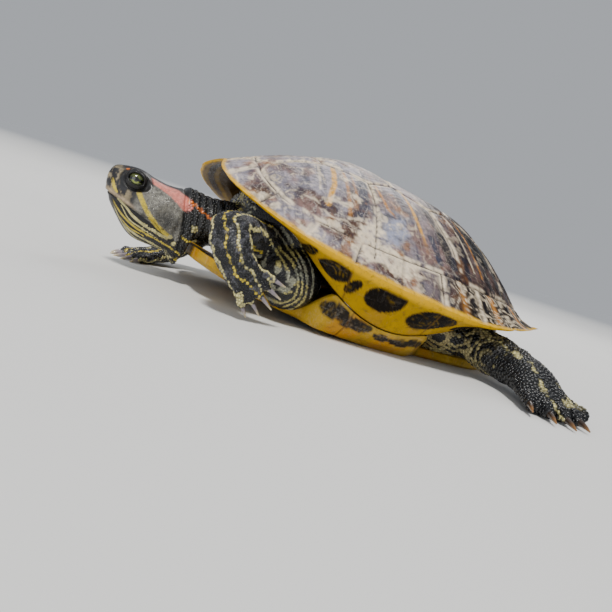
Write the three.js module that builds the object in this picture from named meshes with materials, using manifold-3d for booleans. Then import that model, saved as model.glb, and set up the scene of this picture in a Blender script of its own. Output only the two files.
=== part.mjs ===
// Red-eared slider turtle, a still life-size model of an adult female, basking on the floor.
// Millimetres, +Z up. The head points towards -X and the animal's left side towards -Y.
// Everything is laid out in the shell's own frame: x is measured back from the front edge of
// the carapace, y is 0 on the midline and z is 0 near the level of the plastron. The whole
// group is then leaned nose-up and moved, so that the floor is z = 0 and the origin is the
// middle of the flat that the plastron rests on.
import * as THREE from 'three';
import { mergeVertices } from 'three/addons/utils/BufferGeometryUtils.js';
import Module from 'manifold-3d';

const wasm = await Module();
wasm.setup();

// ---------------------------------------------------------------- driving dimensions
const shellLength = 220;              // straight length of the carapace
const lean = THREE.MathUtils.degToRad(4.2);   // how far the front of the shell is raised
const restX = 118;                    // middle of the plastron's resting flat
const restZ = -3.3;                   // level of the floor there, in the shell's frame
const gap = 0.3;                      // clearance between neighbouring pieces

const rim = {
  halfWidth: 0.393 * shellLength,     // at the widest marginals
  widestX: 0.608 * shellLength,
  frontX: -0.021 * shellLength,       // front corners, either side of the notch over the neck
  rearX: 0.991 * shellLength,         // tip of the last marginals
  frontPower: 2.75,                   // squareness of the outline ahead of the widest place
  rearPower: 1.95,                    // and behind it
  notchDepth: 0.032 * shellLength,
  notchHalfWidth: 0.09 * shellLength,
  seamPower: 0.93,                    // the front marginals are the longer ones
  sideZ: 0.128 * shellLength,
  frontRise: 0.142 * shellLength,     // the rim climbs this much over the neck
  frontReach: 0.213,                  // share of the half rim that the climb takes
  rearRise: 0.041 * shellLength,      // the rear marginals flare up this much
  rearDrop: 0.012 * shellLength,      // and sink again this much at the tail
};
const dome = {
  frontX: 0.365 * shellLength,        // ends of the ridge line
  rearX: 0.662 * shellLength,
  frontZ: 0.389 * shellLength,
  middleZ: 0.382 * shellLength,
  rearZ: 0.36 * shellLength,
  frontPower: 1.55,                   // fullness of the slope at the front, side and rear
  sidePower: 1.62,
  rearPower: 1.1,
  crown: 0.2,                         // rounding of the ridge
  flare: 7,                           // depth of the hollow above the flared rear marginals
  flareAt: 0.15,                      // and its place on the climb
  thick: 4,
};
const underside = {
  width: 16,                          // of the marginals' lower faces, at front and rear
  bridgeWidth: 12,                    // and where they come down to the bridge
  rise: 2.5,                          // how far they slope up inwards at front and rear
  bridgeDrop: 22.5,                   // how far they reach down at the bridge
  bridgeAt: 5 / 12,                   // place of the lowest point along the half rim
  frontSpan: 3.6 / 12,
  rearSpan: 3.4 / 12,
};
const plastron = {
  frontX: 2,
  rearX: 204,
  thick: 6,
  lobeHalfWidth: 50,
  bridgeHalfWidth: 61,
  bridgeFrontX: 60,
  bridgeRearX: 126,
  sag: -5,                            // lowest level, under the middle of the shell
  sagX: 78,
  tipRise: 9.5,                       // the front lobe curves up this much above the sag
};

// ---------------------------------------------------------------- small helpers
const vec = (x, y, z) => new THREE.Vector3(x, y, z);
const mix = THREE.MathUtils.lerp;
const ease = (value, from, to) => THREE.MathUtils.smoothstep(value, from, to);
const signedPower = (value, power) => Math.sign(value) * Math.abs(value) ** power;
const range = (count) => Array.from({ length: count }, (_, index) => index);
const floorAt = (x) => restZ + Math.tan(lean) * (x - restX);
const floorNormal = vec(-Math.sin(lean), 0, Math.cos(lean));

// A closed body through a row of rings that all have the same number of points. A ring whose
// points meet on a line or a point closes that end; an open end gets a flat fan.
function bodyOfRings(rings, { capStart = true, capEnd = true } = {}) {
  const count = rings[0].length;
  const points = rings.flat();
  const faces = [];
  for (let row = 0; row < rings.length - 1; row += 1) {
    for (let step = 0; step < count; step += 1) {
      const next = (step + 1) % count;
      const [a, b] = [row * count + step, row * count + next];
      faces.push(a, b, b + count, a, b + count, a + count);
    }
  }
  const fan = (ring, offset, flip) => {
    const middle = ring.reduce((sum, p) => sum.add(p), vec(0, 0, 0)).divideScalar(count);
    const centre = points.push(middle) - 1;
    for (let step = 0; step < count; step += 1) {
      const next = (step + 1) % count;
      faces.push(centre, offset + (flip ? next : step), offset + (flip ? step : next));
    }
  };
  if (capStart) fan(rings[0], 0, true);
  if (capEnd) fan(rings.at(-1), count * (rings.length - 1), false);
  const geometry = new THREE.BufferGeometry().setFromPoints(points);
  geometry.setIndex(faces);
  return solidOf(geometry);
}

// A closed mesh as a manifold solid, with its faces turned outwards.
function solidOf(source) {
  const bare = source.clone();
  bare.deleteAttribute('normal');
  bare.deleteAttribute('uv');
  const merged = mergeVertices(bare, 1e-4);
  const place = merged.attributes.position;
  const index = merged.index.array;
  const kept = [];
  let volume = 0;
  const corner = (number) => new THREE.Vector3().fromBufferAttribute(place, number);
  for (let face = 0; face < index.length; face += 3) {
    const [a, b, c] = [index[face], index[face + 1], index[face + 2]];
    if (a === b || b === c || c === a) continue;
    volume += corner(a).dot(corner(b).cross(corner(c)));
    kept.push([a, b, c]);
  }
  const turned = volume < 0 ? kept.map(([a, b, c]) => [a, c, b]) : kept;
  return new wasm.Manifold(new wasm.Mesh({
    numProp: 3,
    vertProperties: Float32Array.from(place.array),
    triVerts: Uint32Array.from(turned.flat()),
  }));
}

// A solid back as a mesh of the scene.
function piece(name, solid, material) {
  const { vertProperties, triVerts } = solid.getMesh();
  const geometry = new THREE.BufferGeometry();
  geometry.setAttribute('position', new THREE.BufferAttribute(Float32Array.from(vertProperties), 3));
  geometry.setIndex(new THREE.BufferAttribute(Uint32Array.from(triVerts), 1));
  geometry.computeVertexNormals();
  const mesh = new THREE.Mesh(geometry, material);
  mesh.name = name;
  return mesh;
}

// A box by its two corners, turned about its own y axis at a point.
function block(low, high, { pivot = vec(0, 0, 0), tilt = 0 } = {}) {
  const size = high.clone().sub(low);
  const middle = high.clone().add(low).multiplyScalar(0.5);
  const geometry = new THREE.BoxGeometry(size.x, size.y, size.z);
  geometry.translate(middle.x, middle.y, middle.z);
  geometry.rotateY(tilt);
  geometry.translate(pivot.x, pivot.y, pivot.z);
  return solidOf(geometry);
}

const floorBlock = block(vec(-400, -400, -60), vec(400, 400, 0), {
  pivot: vec(restX, 0, restZ),
  tilt: -lean,
});

// ---------------------------------------------------------------- lofted flesh
// A station is { at: [x, y, z], wide, up, down }: the centre of a section and its reach to
// the sides, above and below. Sections between stations follow smooth curves. `normal` is the
// direction that "up" leans to, unless a station has a `back` of its own. `grow` swells every
// section, and `power` below 1 squares it.
// `from` and `to` take a stretch between two stations, and an end that isn't an end of the
// whole row stands back by the gap.
function loft(stations, { sides = 12, steps = 3, normal = vec(0, 0, 1), grow = 0, power = 1,
  from = 0, to = stations.length - 1, roundEnd = 0, upright = false } = {}) {
  const centres = new THREE.CatmullRomCurve3(stations.map((s) => vec(...s.at)));
  const reaches = new THREE.CatmullRomCurve3(stations.map((s) => vec(s.wide, s.up, s.down ?? s.up)));
  const backs = new THREE.CatmullRomCurve3(stations.map((s) => s.back ?? normal));
  const ring = (u, scale, forward) => {
    const tangent = upright ? vec(1, 0, 0) : centres.getTangent(u);
    const side = new THREE.Vector3().crossVectors(backs.getPoint(u), tangent).normalize();
    const upward = new THREE.Vector3().crossVectors(tangent, side);
    const centre = centres.getPoint(u).addScaledVector(tangent, forward);
    const reach = reaches.getPoint(u);
    return range(sides).map((step) => {
      const angle = (2 * Math.PI * (step + 0.5)) / sides;
      const across = signedPower(Math.cos(angle), power) * (reach.x + grow) * scale;
      const above = signedPower(Math.sin(angle), power);
      const height = above * ((above > 0 ? reach.y : reach.z) + grow) * scale;
      return centre.clone().addScaledVector(side, across).addScaledVector(upward, height);
    });
  };
  const spans = stations.length - 1;
  const rings = range((to - from) * steps + 1).map((row) => {
    const place = from + row / steps;
    let forward = 0;
    if (place === from && from > 0) forward = gap;
    if (place === to && to < spans) forward = -gap;
    return ring(place / spans, 1, forward);
  });
  if (roundEnd > 0 && to === spans) {
    for (const turn of [35, 70]) {
      const angle = THREE.MathUtils.degToRad(turn);
      rings.push(ring(1, Math.cos(angle), roundEnd * Math.sin(angle)));
    }
  }
  return bodyOfRings(rings);
}

// ---------------------------------------------------------------- shell
const rimCurve = (() => {
  const outline = (angle) => {
    const [cos, sin] = [Math.cos(angle), Math.sin(angle)];
    const power = 2 / (cos > 0 ? rim.frontPower : rim.rearPower);
    const reach = cos > 0 ? rim.widestX - rim.frontX : rim.rearX - rim.widestX;
    const across = rim.halfWidth * signedPower(sin, power);
    const notch = cos > 0 ? rim.notchDepth * Math.exp(-((across / rim.notchHalfWidth) ** 2)) : 0;
    return vec(rim.widestX - reach * signedPower(cos, power) + notch, across, 0);
  };
  const points = range(97).map((step) => outline((step / 96) * Math.PI));
  return new THREE.CatmullRomCurve3(points);
})();

function rimHeight(along) {
  const front = rim.frontRise * Math.exp(-((along / rim.frontReach) ** 1.35));
  const rear = rim.rearRise * ease(along, 0.55, 0.8) - rim.rearDrop * ease(along, 0.85, 1);
  return rim.sideZ + front + rear;
}

// A point of the rim; along counts the marginals, from 0 over the neck to 1 over the tail.
function rimPoint(along) {
  const point = rimCurve.getPointAt(Math.min(1, along ** rim.seamPower));
  return vec(point.x, point.y, rimHeight(along));
}

// A point of the dome, from the rim at climb 0 to the ridge line at climb 1.
function domePoint(along, climb, inset = 0) {
  const edge = rimPoint(along);
  const ridgeX = mix(dome.frontX, dome.rearX, along * along * (3 - 2 * along));
  const arch = 4 * (dome.middleZ - (dome.frontZ + dome.rearZ) / 2) * along * (1 - along);
  const ridgeZ = mix(dome.frontZ, dome.rearZ, along) + arch - inset;
  const bulge = Math.sin(Math.PI * along) ** 2;
  const end = along < 0.5 ? dome.frontPower : dome.rearPower;
  const power = mix(end, dome.sidePower, bulge);
  const away = (distance) => (distance ** 2 + dome.crown ** 2) ** (power / 2) - dome.crown ** power;
  const height = 1 - away(1 - climb) / away(1);
  const shrink = 1 - inset / edge.distanceTo(vec(ridgeX, 0, edge.z));
  const hollow = (climb / dome.flareAt) * Math.exp(1 - climb / dome.flareAt);
  const flare = dome.flare * ease(along, 0.5, 0.85) * hollow;
  return vec(
    mix(ridgeX, edge.x, (1 - climb) * shrink),
    edge.y * (1 - climb) * shrink,
    edge.z + (ridgeZ - edge.z) * height - flare,
  );
}

// A closed ring of the shell: the near half and its mirror image.
function shellRing(pointAt, halfCount = 22) {
  const near = range(halfCount + 1).map((step) => pointAt(step / halfCount));
  const far = near.slice(1, -1).reverse().map((p) => vec(p.x, -p.y, p.z));
  return [...near, ...far];
}

const bridgeShare = (along) => {
  const span = along < underside.bridgeAt ? underside.frontSpan : underside.rearSpan;
  const offset = Math.min(1, Math.abs(along - underside.bridgeAt) / span);
  return Math.cos((offset * Math.PI) / 2) ** 2;
};

// The inner edge of the marginals' lower faces.
function hemPoint(along) {
  const edge = rimPoint(along);
  const bridge = bridgeShare(along);
  const width = mix(underside.width, underside.bridgeWidth, bridge);
  const inward = vec(mix(dome.frontX, dome.rearX, along) - edge.x, -edge.y, 0).setLength(width);
  const height = edge.z + mix(underside.rise, -underside.bridgeDrop, bridge);
  return vec(edge.x + inward.x, edge.y + inward.y, height);
}

// The inside of the dome, from the marginals up to the ridge line.
function cavityRings(inset) {
  const lowest = (along) => mix(0.3, 0.16, bridgeShare(along));
  return [0, 0.25, 0.6, 1].map(
    (share) => shellRing((along) => domePoint(along, mix(lowest(along), 1, share), inset)),
  );
}

function carapaceSolid() {
  const middleX = dome.frontX + 35;
  const rings = [];
  for (const climb of [1, 0.88, 0.74, 0.6, 0.45, 0.3, 0.15, 0.05]) {
    rings.push(shellRing((along) => domePoint(along, climb)));
  }
  rings.push(shellRing((along) => rimPoint(along)));
  rings.push(shellRing((along) => rimPoint(along).lerp(hemPoint(along), 0.12).add(vec(0, 0, -1.2))));
  rings.push(shellRing((along) => hemPoint(along)));
  rings.push(shellRing((along) => {
    const hem = hemPoint(along);
    return vec(mix(hem.x, middleX, 0.03), hem.y * 0.955, hem.z + 0.8);
  }));
  rings.push(...cavityRings(dome.thick));
  return bodyOfRings(rings, { capStart: false, capEnd: false });
}

// The plastron's half width, its level and how far the bridge has risen, at x.
function plastronSection(x) {
  const nose = Math.sqrt(Math.max(0, 1 - ((plastron.frontX + 26 - x) / 26) ** 2));
  const front = x < plastron.frontX + 26 ? 0.5 + 0.5 * nose : 1;
  const tail = 1 - 0.42 * ease(x, 160, plastron.rearX) ** 1.3;
  const bridge = ease(x, plastron.bridgeFrontX - 5, plastron.bridgeFrontX + 5)
    * (1 - ease(x, plastron.bridgeRearX - 10, plastron.bridgeRearX + 6));
  const halfWidth = mix(plastron.lobeHalfWidth * front * tail, plastron.bridgeHalfWidth, bridge);
  const ahead = Math.max(0, (plastron.sagX - x) / (plastron.sagX - plastron.frontX));
  const level = Math.max(plastron.sag + plastron.tipRise * ahead ** 1.8, floorAt(x) - 0.4);
  return { halfWidth, bridge, level };
}

// The hem of the carapace as seen across the shell at x: the seam that the bridge meets.
const hemTable = range(241).map((step) => hemPoint(step / 240));
function hemAt(x) {
  const after = hemTable.findIndex((p) => p.x > x);
  const [a, b] = [hemTable[after - 1], hemTable[after]];
  return a.clone().lerp(b, (x - a.x) / (b.x - a.x));
}

function plastronSolid() {
  const xs = [0, 1, 4, 10, 20, 32, 44, 52.5, 56, 59, 63, 72, 84, 96, 110, 115, 119, 123, 127, 131, 140, 154,
    168, 182, 194, 201, 202].map((step) => plastron.frontX + step);
  const rings = xs.map((x) => {
    const { halfWidth, bridge, level } = plastronSection(x);
    const seam = hemAt(THREE.MathUtils.clamp(x, 30, 170));
    const top = mix(level + plastron.thick, seam.z - 2 * gap, bridge);
    const out = mix(halfWidth, seam.y - 0.4, bridge);
    const middle = (halfWidth + out) / 2;
    const half = [
      vec(x, halfWidth * 0.5, level),
      vec(x, halfWidth - 7, level),
      vec(x, halfWidth, level + 1.8),
      vec(x, mix(halfWidth + 0.4, middle + 1.2, bridge), mix(level + 3, (level + top) / 2, bridge)),
      vec(x, out, top),
      vec(x, out - mix(3, 4, bridge), top),
      vec(x, halfWidth - 6, level + plastron.thick + bridge),
      vec(x, halfWidth * 0.5, level + plastron.thick),
    ];
    const mirrored = half.map((p) => vec(p.x, -p.y, p.z)).reverse();
    return [...half, vec(x, 0, level + plastron.thick), ...mirrored, vec(x, 0, level)];
  });
  return bodyOfRings(rings).subtract(floorBlock);
}

// ---------------------------------------------------------------- trunk, neck, head, tail
// Loose skin that fills the pockets behind the forelegs and before the hind legs: middle and reach.
const pockets = [
  { x: 46, y: 46.5, z: 14, reach: [17, 16.5, 16.5] },
  { x: 142, y: 45, z: 16, reach: [20, 20, 12.5] },
];

function pocketSolid(pocket, side, grow) {
  const geometry = new THREE.SphereGeometry(1, 10, 7);
  geometry.scale(...pocket.reach.map((reach) => reach + grow));
  geometry.translate(pocket.x, side * pocket.y, pocket.z);
  return solidOf(geometry);
}

function trunkSolid(grow) {
  const flesh = loft([
    { at: [20, 0, 27], wide: 26, up: 20, down: 13 },
    { at: [34, 0, 31], wide: 46, up: 31, down: 22 },
    { at: [60, 0, 32], wide: 56, up: 40, down: 29 },
    { at: [110, 0, 32], wide: 58, up: 43, down: 29 },
    { at: [150, 0, 28], wide: 52, up: 40, down: 22 },
    { at: [180, 0, 26], wide: 40, up: 24, down: 16 },
    { at: [194, 0, 22], wide: 26, up: 15, down: 10 },
  ], { sides: 14, steps: 2, power: 0.85, grow, upright: true, roundEnd: 5 });
  const rings = cavityRings(dome.thick + gap + 0.3 - grow);
  const wallFoot = rings[0].map((p) => vec(p.x, p.y, -20));
  return pockets
    .flatMap((pocket) => [pocketSolid(pocket, -1, grow), pocketSolid(pocket, 1, grow)])
    .reduce((body, bulge) => body.add(bulge), flesh)
    .intersect(bodyOfRings([wallFoot, ...rings], { capEnd: false }));
}

const neckStations = [
  { at: [-9.2, -1, 19.5], wide: 15.6, up: 18.8, down: 18 },
  { at: [-6, -1, 18], wide: 17, up: 20.8, down: 22 },
  { at: [-2.5, -1, 18], wide: 18, up: 20.2, down: 22 },
  { at: [0, -0.5, 20], wide: 18.6, up: 18, down: 8 },
  { at: [6, 0, 24], wide: 19.5, up: 14, down: 11 },
  { at: [24, 0, 27], wide: 21, up: 14, down: 12.5 },
];

const neckShape = { sides: 16, steps: 2, upright: true };

const headStations = [
  { at: [-49.6, -1, 28.8], wide: 3.4, up: 4.6, down: 5 },
  { at: [-48.1, -1, 27.3], wide: 5.6, up: 8.1, down: 7.2 },
  { at: [-45, -1, 26], wide: 8, up: 10.7, down: 9.8 },
  { at: [-40, -1, 25], wide: 10.8, up: 12.4, down: 14.2 },
  { at: [-34, -1, 24], wide: 13, up: 13.7, down: 18.8 },
  { at: [-28, -1, 22], wide: 14.6, up: 14.6, down: 19.8 },
  { at: [-20, -1, 20], wide: 15.8, up: 15.7, down: 18.6 },
  { at: [-13, -1, 19], wide: 15.8, up: 17.4, down: 17.8 },
  { at: [-9.5, -1, 19.5], wide: 15.4, up: 18.6, down: 17.8 },
];
const eye = { x: -36.6, y: 8, z: 31.2, radius: 5.2 };
const mouth = { x: -30, z: 15.8, slope: THREE.MathUtils.degToRad(15.7) };

function eyeSolid(side, grow) {
  const geometry = new THREE.SphereGeometry(eye.radius + grow, 10, 8);
  geometry.translate(eye.x, -1 + side * eye.y, eye.z);
  return solidOf(geometry);
}

function headSolids() {
  const whole = loft(headStations, { sides: 16, steps: 2, power: 0.92, upright: true });
  const cut = { pivot: vec(mouth.x, 0, mouth.z), tilt: mouth.slope };
  const below = block(vec(-60, -40, -60), vec(60, 40, 0), cut);
  const above = block(vec(-60, -40, -gap), vec(60, 40, 60), cut);
  let skull = whole.subtract(below);
  for (const side of [-1, 1]) skull = skull.subtract(eyeSolid(side, gap));
  return { skull, jaw: whole.subtract(above) };
}

const tailStations = [
  { at: [182, 0, 19], wide: 9, up: 8 },
  { at: [199, 3, 17], wide: 7.4, up: 6.4 },
  { at: [209.5, 13, 12.5], wide: 5.2, up: 4.6 },
  { at: [209, 26, 9], wide: 3.4, up: 3.2 },
];

// ---------------------------------------------------------------- limbs
// A limb is one row of stations: the upper part up to `joint`, the lower part, and from the
// wrist or ankle on a foot that heads along `heading` with its back towards `back`. The toes
// of a foot that stands on the floor bend level with it by the share `flatten`.
const limbs = {
  foreleg_left: {
    kind: 'fore',
    side: -1,
    heading: vec(0.84, -0.12, -0.53),
    back: vec(-0.35, -0.93, 0.1),
    joint: 2,
    flatten: 0,
    stations: [
      { at: [36, -34, 25], wide: 12, up: 11, back: vec(0, 0, 1) },
      { at: [20, -49, 28], wide: 11.5, up: 9, back: vec(-0.1, 0, 1) },
      { at: [4, -63, 29], wide: 10.6, up: 6.6, back: vec(-0.6, -0.5, 0.65) },
      { at: [6, -69.5, 20], wide: 9.8, up: 6.4 },
      { at: [13, -71, 12], wide: 9, up: 5.8 },
    ],
  },
  foreleg_right: {
    kind: 'fore',
    side: 1,
    heading: vec(-0.87, -0.36, -0.31),
    back: vec(-0.3, -0.12, 1),
    joint: 2,
    flatten: 0.7,
    stations: [
      { at: [36, 34, 24], wide: 11.5, up: 11 },
      { at: [23, 54, 17], wide: 11, up: 9.5 },
      { at: [12, 59, 5.5], wide: 10, up: 7.4 },
      { at: [2, 51, -3.5], wide: 9, up: 6 },
      { at: [-8, 41, -7.4], wide: 8.4, up: 4.8 },
    ],
  },
  hindleg_left: {
    kind: 'hind',
    side: -1,
    heading: vec(-0.1, -0.97, -0.29),
    back: vec(-0.07, -0.1, 1),
    joint: 2,
    flatten: 0.8,
    stations: [
      { at: [146, -34, 18], wide: 15, up: 12, down: 9 },
      { at: [157, -52, 17], wide: 15.5, up: 11.5, down: 10 },
      { at: [165, -70, 15], wide: 14.5, up: 11 },
      { at: [169, -84, 13.5], wide: 13.5, up: 10 },
      { at: [169, -97, 12.5], wide: 13.5, up: 9 },
    ],
  },
  hindleg_right: {
    kind: 'hind',
    side: 1,
    heading: vec(0.62, 0.75, -0.17),
    back: vec(-0.07, 0, 1),
    joint: 2,
    flatten: 0.8,
    stations: [
      { at: [146, 34, 18], wide: 14.5, up: 12, down: 9 },
      { at: [154, 52, 17], wide: 14.5, up: 11, down: 9.5 },
      { at: [163, 63, 15], wide: 13, up: 10.5 },
      { at: [175, 68, 13], wide: 12.4, up: 9.5 },
      { at: [186, 76, 11], wide: 12.4, up: 8.6 },
    ],
  },
};

// Proportions of a foot along, across and above its own axes.
const footKinds = {
  fore: {
    palm: [[6, 9.4, 4.8], [12, 9.8, 3.7]],
    palmEnd: 1.8,
    toes: range(5).map((number) => ({
      across: (number - 2) * 4,
      fan: (number - 2) * 0.17,
      from: 9.5,
      length: [5, 6.5, 7, 6.5, 5][number],
      radius: 2.4,
      claw: [6, 7.5, 8, 7.5, 6][number],
    })),
    clawRadius: 1.1,
  },
  hind: {
    palm: [[12, 15, 7], [24, 17, 5], [31, 17.5, 3.6]],
    palmEnd: 2.4,
    toes: range(5).map((number) => ({
      across: (number - 2) * 7.2,
      fan: (number - 2) * 0.13,
      from: [24, 27, 28, 27, 22][number],
      length: [8, 10, 10.5, 9.5, 8][number],
      radius: [3.1, 3.3, 3.3, 3.1, 2.8][number],
      claw: [9, 10, 10, 9, 0][number],
    })),
    clawRadius: 1.4,
  },
};

// The axes of a foot, and a point by its distance along, across and above them.
function footAxes(limb) {
  const start = vec(...limb.stations.at(-1).at);
  const forward = limb.heading.clone().normalize();
  const side = new THREE.Vector3().crossVectors(limb.back, forward).normalize();
  const upward = new THREE.Vector3().crossVectors(forward, side);
  const point = (along, across, above) => start.clone().addScaledVector(forward, along)
    .addScaledVector(side, across).addScaledVector(upward, above);
  return { forward, upward, point };
}

const station = (place, wide, up) => ({ at: place.toArray(), wide, up });

function limbSolids(limb, room) {
  const { palm, palmEnd, toes, clawRadius } = footKinds[limb.kind];
  const { forward, upward, point } = footAxes(limb);
  const wrist = limb.stations.length - 1;
  const palmStations = palm.map(([along, wide, up]) => station(point(along, 0, 0), wide, up));
  const stations = [...limb.stations, ...palmStations];
  const shape = { normal: limb.back, sides: 10 };
  const lowerStretch = { ...shape, from: limb.joint, to: wrist };
  const lower = loft(stations, lowerStretch);
  const upper = loft(stations, { ...shape, to: limb.joint }).subtract(room)
    .subtract(loft(stations, { ...lowerStretch, grow: gap }).hull());
  let foot = loft(stations, { ...shape, steps: 1, from: wrist, roundEnd: palmEnd });
  const claws = [];
  toes.forEach((toe, number) => {
    const heading = forward.clone().applyAxisAngle(upward, -toe.fan * limb.side);
    heading.addScaledVector(floorNormal, -limb.flatten * heading.dot(floorNormal)).normalize();
    const base = point(toe.from, -toe.across * limb.side, 0.4);
    const ahead = (along, above) => base.clone()
      .addScaledVector(heading, along).addScaledVector(upward, above);
    const tip = ahead(toe.length, -0.9);
    const toeSolid = loft([
      station(ahead(-6, 0), toe.radius * 0.9, toe.radius * 0.8),
      station(ahead(toe.length * 0.5, 0.5), toe.radius * 1.08, toe.radius * 1.05),
      station(tip, toe.radius * 0.8, toe.radius * 0.8),
    ], { sides: 6, steps: 1, normal: upward, roundEnd: toe.claw ? 0 : 1.6 });
    foot = foot.add(toeSolid);
    if (toe.claw) {
      const claw = clawSolid(tip, heading, upward, toe.claw, clawRadius);
      foot = foot.subtract(claw.room);
      claws.push([number + 1, claw.solid.subtract(floorBlock)]);
    }
  });
  return { upper, lower, foot: foot.subtract(floorBlock), claws };
}

// A claw on the end of a toe, curved down, and the room that it needs in the toe.
function clawSolid(tip, heading, upward, length, radius) {
  const at = (along, drop) => tip.clone().addScaledVector(heading, along)
    .addScaledVector(upward, -drop).toArray();
  const shape = { sides: 6, steps: 1, normal: upward };
  const row = (start, grow) => [
    { at: at(start, -0.2), wide: radius + grow, up: radius * 1.25 + grow },
    { at: at(length * 0.5, 0.1), wide: radius * 0.8 + grow, up: radius + grow },
    { at: at(length, 1.3), wide: 0.3 + grow, up: 0.3 + grow },
  ];
  return { solid: loft(row(-0.8, 0), shape), room: loft(row(-1.2, gap), shape) };
}

// ---------------------------------------------------------------- assembly
const paint = (color, roughness) => new THREE.MeshStandardMaterial({ color, roughness });
const horn = paint(0x5b4a44, 0.45);
const bone = paint(0xd9a821, 0.5);
const flesh = paint(0x24262a, 0.6);
const cheek = paint(0x6c6a5e, 0.55);
const clawHorn = paint(0x2a221c, 0.4);
const eyeGlass = paint(0x6f8a1c, 0.15);

const turtle = new THREE.Group();
const addPiece = (name, solid, material) => turtle.add(piece(name, solid, material));

const trunkRoom = trunkSolid(gap);
const neckRoom = loft(neckStations, { ...neckShape, grow: gap });
const belly = plastronSolid();
const bellyRoom = [[0, 0, gap], [-gap, 0, 0], [0, gap, 0], [0, -gap, 0]]
  .map((shift) => belly.translate(shift))
  .reduce((room, moved) => room.add(moved));
addPiece('carapace', carapaceSolid(), horn);
addPiece('plastron', belly, bone);
addPiece('trunk', trunkSolid(0).subtract(neckRoom).subtract(bellyRoom), flesh);
addPiece('neck', loft(neckStations, neckShape), flesh);

const { skull, jaw } = headSolids();
addPiece('head', skull, cheek);
addPiece('lower_jaw', jaw, flesh);
addPiece('eye_left', eyeSolid(-1, 0), eyeGlass);
addPiece('eye_right', eyeSolid(1, 0), eyeGlass);
addPiece('tail', loft(tailStations, { sides: 12, roundEnd: 2 }).subtract(trunkRoom), flesh);

for (const [name, limb] of Object.entries(limbs)) {
  const { upper, lower, foot, claws } = limbSolids(limb, trunkRoom);
  addPiece(`${name}_upper`, upper, flesh);
  addPiece(`${name}_lower`, lower, flesh);
  addPiece(`${name}_foot`, foot, flesh);
  for (const [number, claw] of claws) addPiece(`${name}_claw_${number}`, claw, clawHorn);
}

// Lean the animal and set the middle of its resting flat on the origin.
turtle.rotation.y = lean;
turtle.position.copy(vec(restX, 0, restZ).applyAxisAngle(vec(0, 1, 0), lean).negate());

export default turtle;
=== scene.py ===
"""The looks of the red-eared slider turtle: shell plates, skin, scales, eyes and claws.

Everything is laid out in the shell's own frame, in millimetres: x is measured back from the
front edge of the carapace, y is 0 on the midline (the animal's left side is negative) and z is
0 near the level of the plastron. world() leans it nose-up and turns it into metres, as the CAD
model does.
"""
import math

import bmesh
import bpy
import numpy as np
from mathutils import Matrix, Vector, kdtree

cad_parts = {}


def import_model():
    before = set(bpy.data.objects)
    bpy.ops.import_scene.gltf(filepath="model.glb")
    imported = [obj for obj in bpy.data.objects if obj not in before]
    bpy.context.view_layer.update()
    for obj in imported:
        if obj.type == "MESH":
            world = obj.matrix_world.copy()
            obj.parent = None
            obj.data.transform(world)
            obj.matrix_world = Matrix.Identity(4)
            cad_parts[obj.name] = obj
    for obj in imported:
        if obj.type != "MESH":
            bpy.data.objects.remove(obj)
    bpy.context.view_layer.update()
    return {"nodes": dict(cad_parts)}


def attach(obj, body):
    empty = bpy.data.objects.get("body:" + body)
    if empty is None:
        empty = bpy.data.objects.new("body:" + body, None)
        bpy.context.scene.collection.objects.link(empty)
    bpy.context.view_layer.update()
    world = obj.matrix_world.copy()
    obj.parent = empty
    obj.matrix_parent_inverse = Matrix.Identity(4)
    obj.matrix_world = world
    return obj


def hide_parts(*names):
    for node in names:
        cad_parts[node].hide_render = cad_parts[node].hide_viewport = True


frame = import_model()

# ------------------------------------------------------------ driving dimensions
SHELL = 220.0                          # straight length of the carapace
LEAN = math.radians(4.2)
REST = np.array([118.0, 0.0, -3.3])    # middle of the plastron's resting flat
COAT = 0.45                            # depth of the scales that lie over the skin
GAP = 0.3                              # play between the carapace and the plastron
WALL = 3.6                             # thickness of the carapace
HEAD_Y = -1.0                          # the head's own middle, a little left of the shell's
HEAD_BACK = -8.5                       # x of the crease behind the smooth head
RNG = np.random.default_rng(7)

RIM = dict(half_width=0.393, widest_x=0.608, front_x=-0.021, rear_x=0.991, front_power=2.75,
           rear_power=1.95, notch_depth=0.032, notch_half_width=0.09, seam_power=0.93,
           side_z=0.128, front_rise=0.142, front_reach=0.213, rear_rise=0.041, rear_drop=0.012)
DOME = dict(front_x=0.365, rear_x=0.662, front_z=0.389, middle_z=0.382, rear_z=0.36,
            front_power=1.55, side_power=1.62, rear_power=1.1, crown=0.2, flare=7.0,
            flare_at=0.15)
UNDER = dict(width=16.0, bridge_width=12.0, rise=2.5, bridge_drop=22.5, bridge_at=5 / 12,
             front_span=0.3, rear_span=3.4 / 12)
PLASTRON = dict(front_x=2.0, rear_x=204.0, thick=6.0, lobe=50.0, bridge=61.0, bridge_front=60.0,
                bridge_rear=126.0, sag=-5.0, sag_x=78.0, tip_rise=9.5)


# ------------------------------------------------------------ helpers
def leaned(vectors, way=1):
    """Vectors tipped with the shell's lean, or straightened again with way -1."""
    v = np.asarray(vectors, float)
    c, s = math.cos(LEAN), way * math.sin(LEAN)
    return np.stack([v[..., 0] * c + v[..., 2] * s, v[..., 1], -v[..., 0] * s + v[..., 2] * c], -1)


def world(points):
    """Shell frame in millimetres to the row's frame in metres."""
    return leaned(np.asarray(points, float) - REST) / 1000


def floor_at(x):
    """Height of the floor under x, in the shell's frame."""
    return REST[2] + math.tan(LEAN) * (np.asarray(x, float) - REST[0])


def ease(value, low, high):
    """0 up to low, 1 from high on, and a smooth rise between."""
    t = np.clip((np.asarray(value, float) - low) / (high - low), 0, 1)
    return t * t * (3 - 2 * t)


def bump(distance, width):
    """1 at distance 0, falling smoothly to 0 over about twice the width."""
    return np.exp(-(np.asarray(distance, float) / width) ** 2)


def lerp(a, b, t):
    return a + (b - a) * t


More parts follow.
